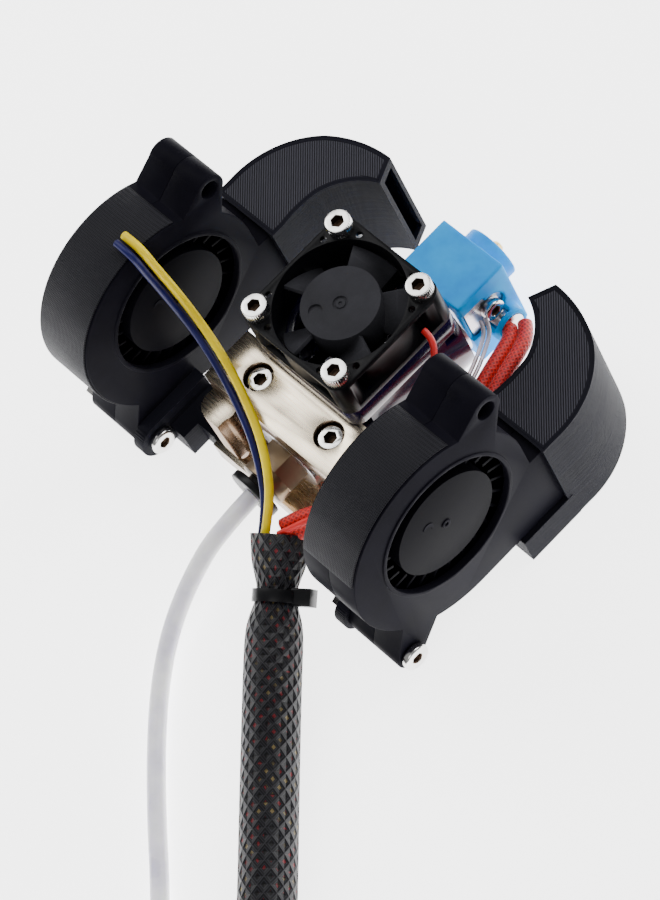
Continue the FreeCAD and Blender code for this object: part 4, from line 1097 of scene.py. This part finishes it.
class HOTEND_OT_tube(bpy.types.Operator):
    """Lay the milky tube and its coil"""
    bl_idname = "hotend.tube"
    bl_label = "Filament tube"

    def execute(self, context):
        make_tube()
        return {"FINISHED"}


class HOTEND_OT_loom(bpy.types.Operator):
    """Lay the braided sleeve and its coil"""
    bl_idname = "hotend.loom"
    bl_label = "Loom"

    def execute(self, context):
        make_loom()
        return {"FINISHED"}


class HOTEND_OT_leads(bpy.types.Operator):
    """Lay the blower, heater, fan and sensor leads"""
    bl_idname = "hotend.leads"
    bl_label = "Leads"

    def execute(self, context):
        make_leads()
        return {"FINISHED"}


class HOTEND_OT_screws(bpy.types.Operator):
    """Place the cap and button screws"""
    bl_idname = "hotend.screws"
    bl_label = "Screws"

    def execute(self, context):
        make_screws()
        return {"FINISHED"}


class HOTEND_OT_fan(bpy.types.Operator):
    """Make the fan's frame, wheel and shroud"""
    bl_idname = "hotend.fan"
    bl_label = "Heat-sink fan"

    def execute(self, context):
        make_fan()
        return {"FINISHED"}


class HOTEND_OT_blowers(bpy.types.Operator):
    """Make the housings, wheels and tape"""
    bl_idname = "hotend.blowers"
    bl_label = "Blowers"

    def execute(self, context):
        make_blowers()
        return {"FINISHED"}


class HOTEND_OT_clamp(bpy.types.Operator):
    """Make the plates, heat sink and coupler"""
    bl_idname = "hotend.clamp"
    bl_label = "Clamp"

    def execute(self, context):
        make_clamp()
        return {"FINISHED"}


class HOTEND_OT_hot_end(bpy.types.Operator):
    """Make the block, nozzle and silicone sleeve"""
    bl_idname = "hotend.hot_end"
    bl_label = "Hot end"

    def execute(self, context):
        make_hot_end()
        return {"FINISHED"}


class HOTEND_OT_ducts(bpy.types.Operator):
    """Make the printed air ducts and brackets"""
    bl_idname = "hotend.ducts"
    bl_label = "Ducts"

    def execute(self, context):
        make_ducts()
        return {"FINISHED"}


class HOTEND_OT_kept_nodes(bpy.types.Operator):
    """Finish the nodes that keep their own shape"""
    bl_idname = "hotend.kept_nodes"
    bl_label = "Kept nodes"

    def execute(self, context):
        paint_frame()
        return {"FINISHED"}


class HOTEND_OT_stage(bpy.types.Operator):
    """Set up the floor and the studio lights"""
    bl_idname = "hotend.stage"
    bl_label = "Stage"

    def execute(self, context):
        make_stage()
        return {"FINISHED"}


STEPS = [
    HOTEND_OT_materials, HOTEND_OT_camera, HOTEND_OT_coil_ties, HOTEND_OT_connector,
    HOTEND_OT_loom_tie, HOTEND_OT_tube, HOTEND_OT_loom, HOTEND_OT_leads, HOTEND_OT_screws,
    HOTEND_OT_fan, HOTEND_OT_blowers, HOTEND_OT_clamp, HOTEND_OT_hot_end, HOTEND_OT_ducts,
    HOTEND_OT_kept_nodes, HOTEND_OT_stage,
]


class HOTEND_PT_build(bpy.types.Panel):
    """Lists the steps that build the hotend's looks."""
    bl_label = "Hotend assembly"
    bl_idname = "HOTEND_PT_build"
    bl_space_type = "VIEW_3D"
    bl_region_type = "UI"
    bl_category = "Hotend"

    def draw(self, context):
        for group in (context.scene.hotend_sizes, context.scene.hotend_colours):
            for name in group.__annotations__:
                self.layout.prop(group, name)
        for step in STEPS:
            self.layout.operator(step.bl_idname)


CLASSES = [HotendSizes, HotendColours, *STEPS, HOTEND_PT_build]


def register():
    for item in CLASSES:
        bpy.utils.register_class(item)
    bpy.types.Scene.hotend_sizes = bpy.props.PointerProperty(type=HotendSizes)
    bpy.types.Scene.hotend_colours = bpy.props.PointerProperty(type=HotendColours)


def unregister():
    del bpy.types.Scene.hotend_colours
    del bpy.types.Scene.hotend_sizes
    for item in reversed(CLASSES):
        bpy.utils.unregister_class(item)


def main():
    register()
    for step in STEPS:
        group, name = step.bl_idname.split(".")
        getattr(getattr(bpy.ops, group), name)()


if __name__ == "__main__":
    main()
